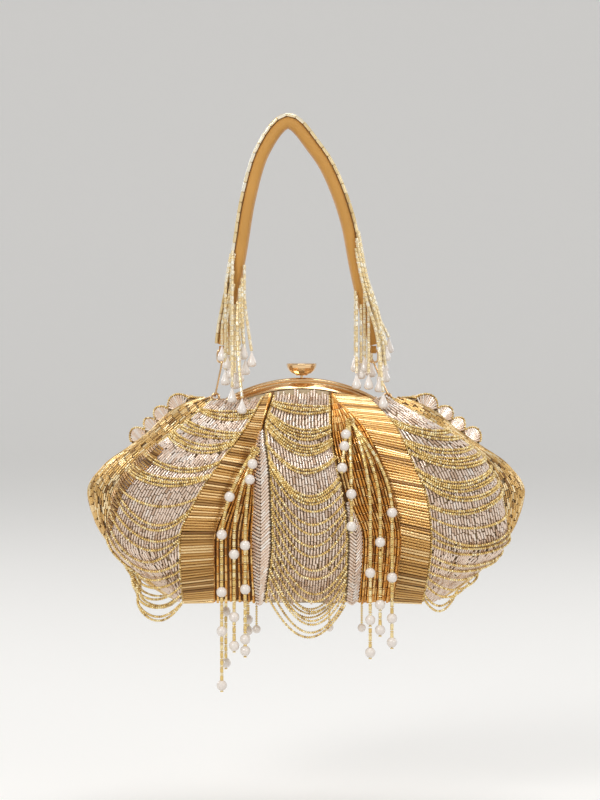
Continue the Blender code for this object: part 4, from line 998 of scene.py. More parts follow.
def make_swags(side, name):
    """Curved strands of gold seeds across one lobe, the upper ones doubled, and a row along each seam."""
    pitch, radius = settings("beads").seed_pitch, settings("beads").seed_radius
    beads = Beads()
    for index, ends in enumerate(SWAGS[name]):
        proud = SWAG_PROUD + SWAG_PROUD_RANGE * RANDOM.random() + SWAG_PROUD_STEP * index
        wobble = RANDOM.normal(0, 0.6, 3) * SWAG_WOBBLE
        for step in ((0.0, 0.0, 0.0), SWAG_TWIN)[:2 if index < DOUBLED_SWAGS else 1]:
            heights = tuple(h + w + d for h, w, d in zip(ends, wobble, step))
            route = smoothed(swag_route(name, side, heights, proud))
            bead_line(beads, SEED, route, pitch, radius, gap=SEED_OVERLAP)
    lobe = field("swag", name, side)
    for edge in (-1.0, 1.0):
        s = np.linspace(0.002, float(lobe.length(edge)) - 0.001, 80)
        route = lobe.at(np.full(80, edge), s, SWAG_EDGE_PROUD)
        bead_line(beads, SEED, route, pitch, radius, gap=SEED_OVERLAP)
    piece = beads.make(f"{side}_swags_{name}_seeds", finish_of("gold seeds"), ALL_SMOOTH)
    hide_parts(f"{side}_swags_{name}")
    ride_front(piece, side)


def make_gore(name):
    """End gore covered with bronze bugles that run towards the tip."""
    gore = field("gore", name)
    cloth = surface_piece(f"end_gore_{name}_cloth", gore, finish_of("cloth"), *GORE_CLOTH)
    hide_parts("end_gore_" + name)
    fold(cloth)
    beads = Beads()
    fill_rows(beads, gore, GORE_BUGLE_LENGTH, GORE_BUGLE_RADIUS, GORE_STRING_PITCH)
    piece = beads.make(f"end_gore_{name}_bugles", finish_of("bronze bugles"))
    fold(piece)


def make_pleats(side):
    """Amber bugle strings laid lengthways in the two pleats, high and low by turns."""
    for name, seams, strings in PLEATS:
        pleat, under = field("band", seams, side), field("under", seams, side)
        cloth = surface_piece(f"{side}_pleat_{name}_cloth", under, finish_of("pleat cloth"), *PLEAT_CLOTH)
        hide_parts(f"{side}_pleat_insert_{name}")
        ride_front(cloth, side)
        beads = Beads()
        s = np.linspace(PLEAT_END, pleat.reach - PLEAT_END, 140)
        for k in range(strings):
            u = blend(-PLEAT_EDGE, PLEAT_EDGE, k / (strings - 1))
            keep = s < float(pleat.length(u))
            route = pleat.at(np.full(keep.sum(), u), s[keep], PLEAT_PROUD + PLEAT_STEP * (k % 2))
            points = resample(route, PLEAT_PITCH)
            bead_pattern(beads, points[:-1], points[1:] - points[:-1], PLEAT_PATTERN)
        piece = beads.make(f"{side}_pleat_{name}_strings", finish_of("amber bugles"))
        ride_front(piece, side)


def make_ladders(side):
    """Long gold bugles laid across each ladder band like rungs."""
    for name, seams in LADDERS:
        band = field("band", seams, side)
        count = int(band.reach / RUNG_PITCH)
        s = (np.arange(count) + 0.5) * band.reach / count
        left, right = (
            band.at(np.full(count, u),
                    s * float(band.length(u)) / band.reach + RANDOM.normal(0, RUNG_JITTER, count), RUNG_PROUD)
            for u in (-1, 1))
        wide = np.linalg.norm(right - left, axis=1) > RUNG_SHORTEST
        over = (right - left) * RUNG_OVERLAP
        beads = Beads()
        beads.add(BUGLE, (left - over)[wide], (right + over)[wide], RUNG_RADIUS, tones(int(wide.sum())))
        piece = beads.make(f"{side}_ladder_{name}_rungs", finish_of("ladder bugles"))
        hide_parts(f"{side}_ladder_band_{name}")
        ride_front(piece, side)


def make_herringbones(side):
    """Silver bugles sewn as chevrons beside the centre lobe, two to each arm."""
    share = np.array(CHEVRON_ENDS)
    for name, seams, first in HERRINGBONES:
        band = field("band", seams, side)
        beads = Beads()
        for s in np.arange(first, band.reach - CHEVRON_END, CHEVRON_PITCH):
            width = band.width(s)
            if width < CHEVRON_NARROWEST:
                continue
            rise = min(width * CHEVRON_RISE, CHEVRON_RISE_LIMIT)
            for end in (-1.0, 1.0):
                route = band.at(end * share, s + rise * (0.5 - share), CHEVRON_PROUD)
                beads.add(BUGLE, route[:-1], route[1:], CHEVRON_RADIUS, tones(2, 0.15, 1.0))
        piece = beads.make(f"{side}_herringbone_{name}_bugles", finish_of("silver bugles"))
        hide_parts(f"{side}_herringbone_{name}")
        ride_front(piece, side)


def make_seam_band():
    """Dark gold bugles laid across the seam between the left lobe and its gore, two to each rung."""
    t = np.linspace(0, 1, SEAM_RUNGS)
    edges = []
    for line in SEAM_BAND:
        line = np.array(line)
        run = distances(line)
        edges.append(np.stack([np.interp(t * run[-1], run, line[:, k]) for k in (0, 1)], -1))
    routes = []
    for share in (0.0, 0.5, 1.0):
        x, z = blend(*edges, share).T
        angle = angle_at(x, z)
        routes.append(padded_surface(angle, z) + surface_normal(angle, z) * SEAM_BAND_PROUD)
    beads = Beads()
    for first, second in zip(routes, routes[1:]):
        trim = (second - first) * SEAM_RUNG_GAP
        beads.add(BUGLE, first + trim, second - trim, CHEVRON_RADIUS, tones(SEAM_RUNGS, 0.0, 0.35))
    piece = beads.make("front_seam_band_bugles", finish_of("ladder bugles"))
    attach(piece, "pouch")


def make_base_pearls():
    """Single pearls on short threads of seeds under the base's front edge."""
    radius = settings("beads").pearl_radius * BASE_PEARL_SHARE
    threads, pearls = Beads(), Beads()
    for x, z in BASE_PEARLS:
        top = body_surface(angle_at(x, BASE_Z), np.array(BASE_Z)) + BASE_THREAD_TOP
        foot = np.array([top[0], top[1], z])
        bead_line(threads, SEED, [top, foot + (0, 0, radius)], BASE_THREAD_PITCH, BASE_THREAD_RADIUS,
                  BASE_THREAD_TONE, -0.05)
        pearls.add(PEARL_BALL, foot - (0, 0, radius), foot + (0, 0, radius), radius, 0.5)
    for beads, label, finish, slot in ((threads, "threads", "gold seeds", "gold_beads"),
                                       (pearls, "balls", "pearl", "silver_beads")):
        piece = beads.make("base_pearl_" + label, finish_of(finish), ALL_SMOOTH)
        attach(piece, "pouch")


def petal_wave(v):
    """Height of the row of petals: nothing between two petals, and 1 in a petal's middle."""
    return np.abs(np.sin(np.pi * RUFFLE_PETALS * (v + 1) / 2)) ** RUFFLE_ROUND


def ruffle_point(name, u, v, proud):
    """Petals that rise towards the tip of the gore and open there."""
    u, v, proud = np.broadcast_arrays(np.asarray(u, float), np.asarray(v, float), np.asarray(proud, float))
    hand = hand_of(name)
    z = blend(RUFFLE_SPAN[1], RUFFLE_SPAN[0], (v + 1) / 2)
    start = np.abs(seam_angle(name + "_gore", z))
    forward = (1 + u * hand) / 2
    lift = RUFFLE_LIFT + RUFFLE_RISE * petal_wave(v) * (0.35 + 1.0 * forward)
    angle = hand * blend(start, math.pi / 2, blend(*RUFFLE_REACH, forward))
    point = padded_surface(angle, z) + surface_normal(angle, z) * (lift + proud)[..., None]
    return point * (1, -1, 1)


def petal_bugles(name):
    """Strings of bugles across each petal, and short ones that close its open edge."""
    beads, edge = Beads(), float(hand_of(name))
    for petal in range(RUFFLE_PETALS):
        middle = blend(-1, 1, (petal + 0.5) / RUFFLE_PETALS)
        for k in range(RUFFLE_SPOKES):
            v = blend(-1, 1, (petal + (k + 0.5) / RUFFLE_SPOKES) / RUFFLE_PETALS)
            route = ruffle_point(name, np.linspace(-0.95, 0.95, 12), v, 0.0009)
            bead_line(beads, BUGLE, route, RUFFLE_BUGLE, RUFFLE_BUGLE_RADIUS, tones(1)[0])
            near = blend(middle, v, RUFFLE_SPREAD)
            fall = -RUFFLE_RISE * petal_wave(near) * PETAL_DEPTH - PETAL_FOOT
            base = ruffle_point(name, [edge], near, fall)
            rim = ruffle_point(name, [edge], v, 0.0)
            beads.add(BUGLE, base, rim, RUFFLE_BUGLE_RADIUS, tones(1, 0.3, 1.0))
    return beads


def petal_seeds(name):
    """Seeds along both edges and the middle of the row, and between its petals."""
    beads = Beads()
    for edge, proud in ((-1.0, 0.0008), (1.0, 0.0008), (0.0, 0.0013)):
        route = ruffle_point(name, edge, np.linspace(-1, 1, 160), proud)
        bead_line(beads, SEED, route, RUFFLE_SEED_PITCH, RUFFLE_EDGE_SEED, gap=-0.1)
    for petal in range(RUFFLE_PETALS + 1):
        route = ruffle_point(name, np.linspace(-0.98, 0.98, 20), blend(-1, 1, petal / RUFFLE_PETALS), 0.0016)
        bead_line(beads, SEED, route, RUFFLE_SEED_PITCH, RUFFLE_RIB_SEED, RUFFLE_RIB_TONE, -0.1)
    return beads


def make_ruffle(name):
    """Row of gathered petals along the rear shoulder, of silver bugles edged with gold seeds."""
    bm = shaped_grid(8, 12 * RUFFLE_PETALS, lambda u, v: ruffle_point(name, u, v, -GAP))
    bmesh.ops.solidify(bm, geom=bm.faces, thickness=RUFFLE_SHEET)
    bmesh.ops.recalc_face_normals(bm, faces=bm.faces)
    cloth = finish_mesh("rear_ruffle_" + name + "_cloth", bm, finish_of("cloth"))
    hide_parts("rear_ruffle_" + name)
    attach(cloth, "pouch")
    for beads, kind, label, slot in ((petal_bugles(name), "silver bugles", "bugles", "silver_beads"),
                                     (petal_seeds(name), "gold seeds", "seeds", "gold_beads")):
        piece = beads.make(f"rear_ruffle_{name}_{label}", finish_of(kind))
        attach(piece, "pouch")


# Handle

def strap_line(t):
    """Centre and outward normal of the strap at shares of its route, and the distance to its nearer end."""
    route = np.array(STRAP_ROUTE)
    last = len(route) - 1

    def spline(share):
        place = np.clip(share, 0, 1) * last
        i = np.minimum(place.astype(int), last - 1)
        f = (place - i)[:, None]
        padded = np.concatenate([[2 * route[0] - route[1]], route, [2 * route[-1] - route[-2]]])
        p0, p1, p2, p3 = (padded[i + k] for k in range(4))
        return 0.5 * (2 * p1 + (p2 - p0) * f + (2 * p0 - 5 * p1 + 4 * p2 - p3) * f ** 2
                      + (3 * p1 - p0 - 3 * p2 + p3) * f ** 3)

    t = np.asarray(t, float)
    point, along = spline(t), spline(t + 0.01) - spline(t - 0.01)
    along /= np.linalg.norm(along, axis=1, keepdims=True)
    ends = [np.linalg.norm(point - route[k], axis=1) for k in (0, -1)]
    zero = np.zeros(len(t))
    return (np.stack([point[:, 0], zero, point[:, 1]], -1), np.stack([-along[:, 1], zero, along[:, 0]], -1),
            np.minimum(*ends))


def strap_sizes(distance):
    """Half width and half thickness of the strap, which tapers to its ends."""
    share = np.minimum(distance / STRAP_TAPER, 1.0)
    width = blend(STRAP_TIP_WIDTH, STRAP_WIDTH, share)
    return width / 2, blend(STRAP_TIP_THICKNESS, STRAP_THICKNESS, share) / 2


def strap_at(t, across, out):
    """Points on the strap: across from -1 to 1 of its half width, and out from its middle line in metres."""
    centre, outward, distance = strap_line(t)
    half, _ = strap_sizes(distance)
    return centre + outward * np.reshape(out, (-1, 1)) + np.stack(
        [np.zeros(len(half)), half * across, np.zeros(len(half))], -1)


def facing_at(t, across, proud):
    """Points a little above the strap's outer face, at a share of its half width."""
    _, thick = strap_sizes(strap_line(t)[2])
    return strap_at(t, across, thick + proud)


def swept(name, rows, material):
    """Skin over matching rings of points, bridged edge loop to edge loop, with its ends filled."""
    bm = bmesh.new()
    rings = []
    for row in rows:
        verts = [bm.verts.new(p) for p in row]
        rings.append([bm.edges.new((verts[k - 1], verts[k])) for k in range(len(verts))])
    for first, second in zip(rings, rings[1:]):
        bmesh.ops.bridge_loops(bm, edges=first + second)
    bmesh.ops.holes_fill(bm, edges=rings[0] + rings[-1], sides=0)
    bmesh.ops.recalc_face_normals(bm, faces=bm.faces)
    return finish_mesh(name, bm, material)


def rounded_section(half, thick, power=3.2, count=20):
    """Across and outward places round a rounded oblong."""
    turn = np.linspace(0, 2 * math.pi, count, endpoint=False)
    across = np.copysign(np.abs(np.cos(turn)) ** (2 / power), np.cos(turn)) * half
    out = np.copysign(np.abs(np.sin(turn)) ** (2 / power), np.sin(turn)) * thick
    return across, out


def strap_rows(shares, grow=0.0):
    """Rounded sections of the strap at shares of its route."""
    centre, outward, distance = strap_line(shares)
    rows = []
    for c, n, d in zip(centre, outward, distance):
        half, thick = strap_sizes(d)
        across, out = rounded_section(half + grow, thick + grow)
        rows.append(c + n * out[:, None] + np.stack([across * 0, across, across * 0], -1))
    return rows


def make_strap():
    """Padded satin strap with a beaded facing on its outer side, edged with longer bugles."""
    strap = swept("handle_strap_satin", strap_rows(np.linspace(0, 1, 97)), finish_of("satin"))
    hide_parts("handle_strap", "handle_facing")
    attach(strap, "handle")
    bugles, edges = Beads(), Beads()
    total = distances(strap_line(np.linspace(0, 1, 400))[0])[-1]
    pitch = FACING_BUGLE / total
    for k in range(int(total / FACING_BUGLE)):
        for lane in range(FACING_LANES):
            mid = (k + 0.5 + (0.5 if lane % 2 else 0.0)) * FACING_BUGLE / total
            if mid + pitch / 2 > 1:
                continue
            across = blend(-FACING_HALF, FACING_HALF, lane / (FACING_LANES - 1))
            a, b = facing_at(np.array([mid - 0.47 * pitch, mid + 0.47 * pitch]), across, FACING_PROUD)
            bugles.add(BUGLE, a, b, FACING_BUGLE_RADIUS, tones(1))
    for across in (-STRAP_EDGE, STRAP_EDGE):
        route = facing_at(np.linspace(0.001, 0.999, 500), across, STRAP_EDGE_PROUD)
        bead_line(edges, BUGLE, route, EDGE_BUGLE, EDGE_BUGLE_RADIUS, gap=0.10)
    for beads, name in ((bugles, "handle_facing_bugles"), (edges, "handle_edge_bugles")):
        piece = beads.make(name, finish_of("champagne beads"))
        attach(piece, "handle")


def make_strap_tab(side):
    """Folded satin that holds the oval ring."""
    low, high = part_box("strap_tab_" + side)
    wire_z = oval_centre(side)[2] + OVAL_HALF_HEIGHT
    depth = (high.y - low.y) / 2
    turn = np.linspace(0, math.pi, 13)
    rows = []
    for x in np.linspace(low.x, high.x, 5):
        outer = [(x, depth, high.z)]
        outer += [(x, depth * math.cos(a), wire_z - depth * math.sin(a)) for a in turn]
        outer += [(x, -depth, high.z)]
        inner = [(x, y * TAB_SHEET, z if z > wire_z else blend(wire_z, z, TAB_SHEET))
                 for _, y, z in reversed(outer)]
        rows.append(np.array(outer + inner))
    tab = swept("strap_tab_satin_" + side, rows, finish_of("satin"))
    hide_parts("strap_tab_" + side)
    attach(tab, "handle")


def wire(name, points, radius, cyclic, body, replaced):
    """Round gold wire along a path, made a mesh, that takes the place of a CAD node."""
    path = bpy.data.curves.new(name, "CURVE")
    path.dimensions, path.bevel_depth = "3D", radius
    path.bevel_resolution, path.use_fill_caps = 4, True
    spline = path.splines.new("POLY")
    spline.points.add(len(points) - 1)
    for place, point in zip(spline.points, points):
        place.co = (*point, 1)
    spline.use_cyclic_u = cyclic
    shape = bpy.data.objects.new(name + "_path", path)
    bpy.context.collection.objects.link(shape)
    bpy.context.view_layer.update()
    mesh = bpy.data.meshes.new_from_object(shape.evaluated_get(bpy.context.evaluated_depsgraph_get()))
    mesh.name = name
    bpy.data.objects.remove(shape)
    bpy.data.curves.remove(path)
    mesh.shade_smooth()
    mesh.materials.clear()
    mesh.materials.append(finish_of("gold"))
    piece = bpy.data.objects.new(name, mesh)
    bpy.context.collection.objects.link(piece)
    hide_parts(replaced)
    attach(piece, body)


def strap_end(side):
    """The strap's left or right end, as x and z."""
    return STRAP_ROUTE[0 if side == "left" else -1]


def oval_centre(side):
    """Middle of the oval ring below one end of the strap."""
    x, z = strap_end(side)
    return np.array([x, 0.0, z - OVAL_DROP])


def make_links(side):
    """Oval ring, wire clip with its gate, and the frame's ring."""
    turn = np.linspace(0, 2 * math.pi, 48, endpoint=False)
    x, z = rounded_section(OVAL_HALF_WIDTH, OVAL_HALF_HEIGHT, 3.5, 48)
    centre = oval_centre(side)
    wire("oval_ring_wire_" + side, centre + np.stack([x, x * 0, z], -1), OVAL_WIRE, True, "handle",
         "oval_ring_" + side)
    ring = np.array([FRAME_X + hand_of(side) * RING_X, 0.0, SWING_Z - RING_RADIUS])
    circle = np.stack([np.cos(turn), turn * 0, np.sin(turn)], -1) * RING_RADIUS
    wire("frame_ring_wire_" + side, ring + circle, RING_WIRE, True, "pouch", "frame_ring_" + side)
    foot = ring + (0, 0, RING_RADIUS)
    head = centre - (0, 0, OVAL_HALF_HEIGHT)
    along = (head - foot) / np.linalg.norm(head - foot)
    inner = CLIP_HALF_GAP - CLIP_WIRE - 1.5 * GAP
    foot, head = foot + along * (inner - RING_WIRE), head - along * (inner - OVAL_WIRE)
    across = np.array([0, CLIP_HALF_GAP, 0])
    turns = np.linspace(0, math.pi, 15)[:, None]
    points = np.concatenate([
        [head - across - along * GATE_STUB],
        head - across * np.cos(turns) + along * CLIP_HALF_GAP * np.sin(turns),
        foot + across * np.cos(turns) - along * CLIP_HALF_GAP * np.sin(turns),
        [foot - across + along * GATE_STUB]])
    wire("clip_wire_" + side, points, CLIP_WIRE, False, "handle", "clip_" + side)
    gate = np.array([head - across - along * (GATE_STUB + GAP), foot - across + along * (GATE_STUB + GAP)])
    wire("clip_gate_wire_" + side, gate, GATE_WIRE, False, "gate_" + side, "clip_gate_" + side)


def fringe_route(side, top, foot, lane):
    """A strand lies along the strap's edge until it's over its foot, and hangs free from there."""
    share = np.linspace(0, 1, 80)
    z = blend(top, foot[2], share)
    centre, outward, distance = strap_line(share_at(side, z))
    half, thick = strap_sizes(distance)
    outer = centre[:, 0] + outward[:, 0] * (thick + STRAND_PROUD) - hand_of(side) * LANE_PITCH * lane
    inner = centre[:, 0] - outward[:, 0] * thick
    off = np.clip(foot[0], np.minimum(inner, outer), np.maximum(inner, outer)) - foot[0]
    off = np.sign(off[0]) * np.minimum.accumulate(np.abs(off))
    off *= 1 - np.clip((share - FREE_FROM) / (1 - FREE_FROM), 0, 1) ** FREE_BEND
    beside = np.copysign(half + STRAND_CLEAR + LANE_DEPTH * (lane % 2), foot[1])
    start = foot[1] if abs(foot[1]) < FACE_STRAND_Y else beside
    return np.stack([foot[0] + off, blend(start, foot[1], share), z], -1)


def share_at(side, z):
    """Shares of the strap's route at heights on its left or right half."""
    shares = np.linspace(0, 0.5, 401) if side == "left" else 1 - np.linspace(0, 0.5, 401)
    return np.interp(z, strap_line(shares)[0][:, 2], shares)


def height_at(side, reach):
    """Height at which the strap's left or right half is a distance from its crown's middle."""
    line = strap_line(np.linspace(0.5, 0 if side == "left" else 1, 201))[0]
    return np.interp(reach, np.abs(line[:, 0]), line[:, 2])


def strand_top(side, foot, rank, count):
    """Height at which a strand leaves the strap: lower for one that hangs inside the handle."""
    end_x, _ = strap_end(side)
    top = COLLAR_Z[side] + FRINGE_ABOVE - FRINGE_DROP * (rank * LANES % count) / count
    top -= RANDOM.uniform(0, FRINGE_SCATTER)
    if abs(foot[0]) < abs(end_x) - INNER_REACH:
        top = max(min(top - INNER_DROP, height_at(side, abs(foot[0]) + INNER_SHIFT)), INNER_LOWEST)
    return top


def make_strap_fringe(side):
    """Champagne strands that hang from a collar round the strap and end in drop pearls.

    They lie on the body's shoulder, so their lower ends stay there as the handle swings.
    """
    beads, drops = Beads(), Beads()
    collar = share_at(side, COLLAR_Z[side] - np.array((0, COLLAR_HEIGHT)))
    for row in strap_rows(np.linspace(*collar, 9), COLLAR_PROUD):
        face = np.roll(row, -1, axis=0)[:9]
        bead_line(beads, SEED, face, COLLAR_PITCH, COLLAR_SEED, tones(1)[0], -0.05)
    feet = sorted((np.array(f) for f in DROP_FEET[side] + MORE_FEET[side]), key=lambda f: abs(f[0]))
    for rank, foot in enumerate(feet):
        tip = foot + (0, 0, DROP_LENGTH)
        route = fringe_route(side, strand_top(side, foot, rank, len(feet)), tip, rank % LANES)
        points = resample(route, FRINGE_PITCH)
        bead_pattern(beads, points[:-1], points[1:] - points[:-1], FRINGE_PATTERN)
        drops.add(DROP, foot, tip, DROP_RADIUS, 0.5)
    piece = beads.make("strap_fringe_beads_" + side, finish_of("champagne beads"))
    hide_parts("strap_fringe_" + side)
    drop_piece = drops.make("strap_fringe_drops_" + side, finish_of("pearl"), ALL_SMOOTH)
    for made in (piece, drop_piece):
        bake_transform(made)


def hang_y(x, z):
    """Depth at which a pleat strand hangs clear of the front."""
    z = np.maximum(z, FRINGE_HANG_Z)
    reach = [padded_surface(angle_at(x + step, z), z)[..., 1] for step in (-PEARL, 0.0, PEARL)]
    return np.min(reach, axis=0) - PEARL - FRINGE_STANDOFF


def pearl_strand(beads, pearls, route, heights, radius):
    """Bugles and seeds along a strand, with a round pearl between two seeds at each height."""
    points = resample(route, STRAND_PITCH)
    mids = (points[:-1, 2] + points[1:, 2]) / 2
    clear = np.min(np.abs(mids[:, None] - np.array(heights)[None, :]), axis=1) > radius * 0.9
    bead_pattern(beads, points[:-1][clear], (points[1:] - points[:-1])[clear], PEARL_STRAND_PATTERN)
    for height in heights:
        k = int(np.argmin(np.abs(route[:, 2] - height)))
        along = route[max(k - 1, 0)] - route[min(k + 1, len(route) - 1)]
        along /= np.linalg.norm(along)
        centre = route[k]
        pearls.add(PEARL_BALL, centre - along * radius, centre + along * radius, radius, 0.5)
        for end in (-1, 1):
            near, far = (centre + along * end * radius * reach for reach in (0.98, 1.30))
            beads.add(SEED, near, far, PEARL_SEED_RADIUS, tones(1, 0.5, 1.0))


def add_knot(beads, centre):
    """Ball of seeds from which the strands hang, wound in a spiral."""
    for k in range(KNOT_SEEDS):
        turn, lift = k * KNOT_TURN, blend(-KNOT_HALF, KNOT_HALF, k / (KNOT_SEEDS - 1))
        spread = KNOT_RADIUS * math.sqrt(max(1 - (lift / KNOT_ROUND) ** 2, 0))
        place = centre + (math.cos(turn) * spread, math.sin(turn) * spread * 0.8, lift)
        beads.add(SEED, place - (0, 0, 0.0006), place + (0, 0, 0.0006), KNOT_SEED_RADIUS, tones(1))


def make_pleat_fringe(side, name):
    """Strands with round pearls, hung from a beaded knot near the top of a pleat."""
    knot_x, knot_z = KNOTS[name]
    strands = STRANDS[name] if side == "front" else STRANDS[name][:REAR_STRANDS]
    hand = 1 if side == "front" else -1
    beads, pearls = Beads(), Beads()
    for index, ((foot_x, foot_z), heights) in enumerate(strands):
        start_x = knot_x + (index - (len(strands) - 1) / 2) * STRAND_SPREAD
        z = np.linspace(knot_z, foot_z, 160)
        x = blend(foot_x, start_x, np.maximum(1 - (knot_z - z) / STRAND_SWING, 0.0) ** 2)
        route = np.stack([x, hand * hang_y(x, z), z], -1)
        pearl_strand(beads, pearls, route, heights, settings("beads").pearl_radius)
    add_knot(beads, np.array([knot_x, hand * float(hang_y(np.array(knot_x), np.array(knot_z))), knot_z]))
    piece = beads.make(f"{side}_pleat_fringe_beads_{name}", finish_of("gold seeds"))
    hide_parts(f"{side}_pleat_fringe_{name}")
    piece_pearls = pearls.make(f"{side}_pleat_fringe_pearls_{name}", finish_of("pearl"), ALL_SMOOTH)
    for made in (piece, piece_pearls):
        ride_front(made, side)


# Frame and inside

def make_knob():
    """Faceted cup with a flat top, on its stem."""
    low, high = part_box("lock_knob")
    foot = high.z - KNOB_HEIGHT
    profile = ((0.0, 0.0), (KNOB_FOOT_RADIUS, 0.0), (KNOB_FOOT_RADIUS * 1.12, 0.0006), (0.0062, 0.0014),
               (0.0080, 0.0030), (0.0089, 0.0048), (0.00925, 0.0062), (KNOB_TOP_RADIUS, 0.0068),
               (0.0090, 0.00735), (0.0078, KNOB_HEIGHT), (0.0, KNOB_HEIGHT))
    bm = bmesh.new()
    turned(bm, profile, KNOB_SIDES, 1e-6)
    stem = bmesh.ops.create_cone(bm, cap_ends=True, segments=16, radius1=KNOB_STEM_RADIUS,
                                 radius2=KNOB_STEM_RADIUS, depth=foot - low.z + 0.001)
    bmesh.ops.translate(bm, verts=stem["verts"], vec=(0, 0, (low.z - foot) / 2))
    bmesh.ops.recalc_face_normals(bm, faces=bm.faces)
    bmesh.ops.translate(bm, verts=bm.verts, vec=((low.x + high.x) / 2, (low.y + high.y) / 2, foot))
    knob = finish_mesh("lock_knob_cup", bm, finish_of("gold"), FLAT)
    edge = knob.modifiers.new("softened", "BEVEL")
    edge.width, edge.segments = 0.00018, 2
    edge.limit_method, edge.angle_limit = "ANGLE", math.radians(12)
    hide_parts("lock_knob")
    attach(knob, "knob")


def frame_line():
    """The rim's outer line, from the left arm's foot over the arch to the right arm's foot."""
    foot = HINGE_Z + KNUCKLE_RADIUS + 2 * GAP
    x = np.linspace(0, RIM_HALF_SPAN, 49)
    arch = np.stack([x, RIM_TOP_Z - rim_drop(x)], -1)
    end, bend = arch[-1], (ARM_X - RIM_HALF_SPAN) * 2
    slope = (arch[-1] - arch[-2]) / np.linalg.norm(arch[-1] - arch[-2])
    turn = np.linspace(0, 1, 9)[1:, None]
    corner = end + slope * bend * 0.9
    low = np.array([ARM_X, end[1] - 2 * bend])
    curved = (1 - turn) ** 2 * end + 2 * turn * (1 - turn) * corner + turn ** 2 * low
    arm = np.stack([np.full(8, ARM_X), np.linspace(low[1], foot, 9)[1:]], -1)
    right = np.concatenate([arch, curved, arm])
    return np.concatenate([right[:0:-1] * (-1, 1), right])


def frame_section(x):
    """Depth under the rim's outer line and distance from the bag's middle plane, round one half at x."""
    share = min(abs(x) / PLATE_HALF_SPAN, 1.0) ** 4
    depth = max(float(plate_depth(x)), RIM_DEPTH + PLATE_SHEET)
    flare = blend(PLATE_FLARE, RIM_WIDTH, share)
    w, d = RIM_WIDTH, RIM_DEPTH
    rim = tuple((d * down, w * out) for down, out in RIM_PROFILE)
    edge = rim[-1][1]
    back = flare - PLATE_SHEET
    plate = ((blend(d, depth, 0.33), blend(edge, flare, 0.50)),
             (blend(d, depth, 0.66), blend(edge, flare, 0.82)),
             (depth - 0.0003, flare), (depth, flare - 0.0002), (depth, back),
             (blend(d, depth, 0.5), blend(w * 0.60, back, 0.6)), (d, w * 0.60), (d, GAP / 2))
    return ((0.0, GAP / 2), *rim, *plate)


def add_block(bm, size, place):
    """Rectangular block at a place."""
    verts = bmesh.ops.create_cube(bm, size=1)["verts"]
    bmesh.ops.scale(bm, verts=verts, vec=size)
    bmesh.ops.translate(bm, verts=verts, vec=place)


def add_hinge(bm, side, end):
    """Knuckle and its tab at the foot of an arm, and the rear half's lug for the ring."""
    hand = -1 if side == "front" else 1
    inner = ARM_X - RIM_DEPTH - PLATE_SHEET + 0.001 + (0 if side == "front" else KNUCKLE_LENGTH + GAP)
    x = FRAME_X + end * inner
    bmesh.ops.create_cone(bm, cap_ends=True, segments=24, radius1=KNUCKLE_RADIUS, radius2=KNUCKLE_RADIUS,
                          depth=KNUCKLE_LENGTH, matrix=Matrix.Translation((x, 0, HINGE_Z))
                          @ Matrix.Rotation(math.pi / 2, 4, "Y"))
    add_block(bm, (0.0018, 0.0016, 2 * KNUCKLE_RADIUS), (x, hand * 0.00095, HINGE_Z + KNUCKLE_RADIUS * 0.8))
    if side == "rear":
        top = SWING_Z - 2 * RING_RADIUS - RING_WIRE - GAP
        near, far, deep = ARM_X - RIM_DEPTH / 2, RING_X + RING_RADIUS, RIM_WIDTH * 0.75
        add_block(bm, (far - near, deep - GAP, LUG_HEIGHT),
                  (FRAME_X + end * (near + far) / 2, (deep + GAP) / 2, top - LUG_HEIGHT / 2))


def make_frame_half(side):
    """Polished half of the frame: a rounded double rim line and a flared face plate, swept along the arch."""
    hand = -1 if side == "front" else 1
    path = frame_line()
    along = np.gradient(path, axis=0)
    along /= np.linalg.norm(along, axis=1, keepdims=True)
    inward = np.stack([along[:, 1], -along[:, 0]], -1)
    rows = [np.array([(FRAME_X + x + dx * deep, hand * y, z + dz * deep) for deep, y in frame_section(x)])
            for (x, z), (dx, dz) in zip(path, inward)]
    half = swept(side + "_frame_polished", rows, finish_of("gold"))
    bm = bmesh.new()
    bm.from_mesh(half.data)
    for end in (-1, 1):
        add_hinge(bm, side, end)
    bm.to_mesh(half.data)
    bm.free()
    half.data.set_sharp_from_angle(angle=math.radians(SOFT))
    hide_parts(side + "_frame")
    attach(half, "front_half" if side == "front" else "pouch")


def make_fittings():
    """Polished gold on the hinge pins and the lock keeper."""
    for name in ("hinge_pin_left", "hinge_pin_right", "lock_keeper"):
        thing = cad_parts[name]
        thing = bpy.data.objects[thing] if isinstance(thing, str) else thing
        for slot in thing.material_slots:
            slot.material = finish_of("gold")


def ring_at(z, inset, end_inset, count=72):
    """Level ring of the body's outline, drawn in by an inset at the faces and another at the tips."""
    angle = np.linspace(0, 2 * math.pi, count, endpoint=False)
    ring = body_surface(angle, np.full(count, z))
    middle, half, deep = centre_x(z), curve(OUTLINE, np.array(z), 1), curve(OUTLINE, np.array(z), 2)
    ring[:, 0] = middle + (ring[:, 0] - middle) * (half - end_inset) / half
    ring[:, 1] *= (deep - inset) / deep
    return ring


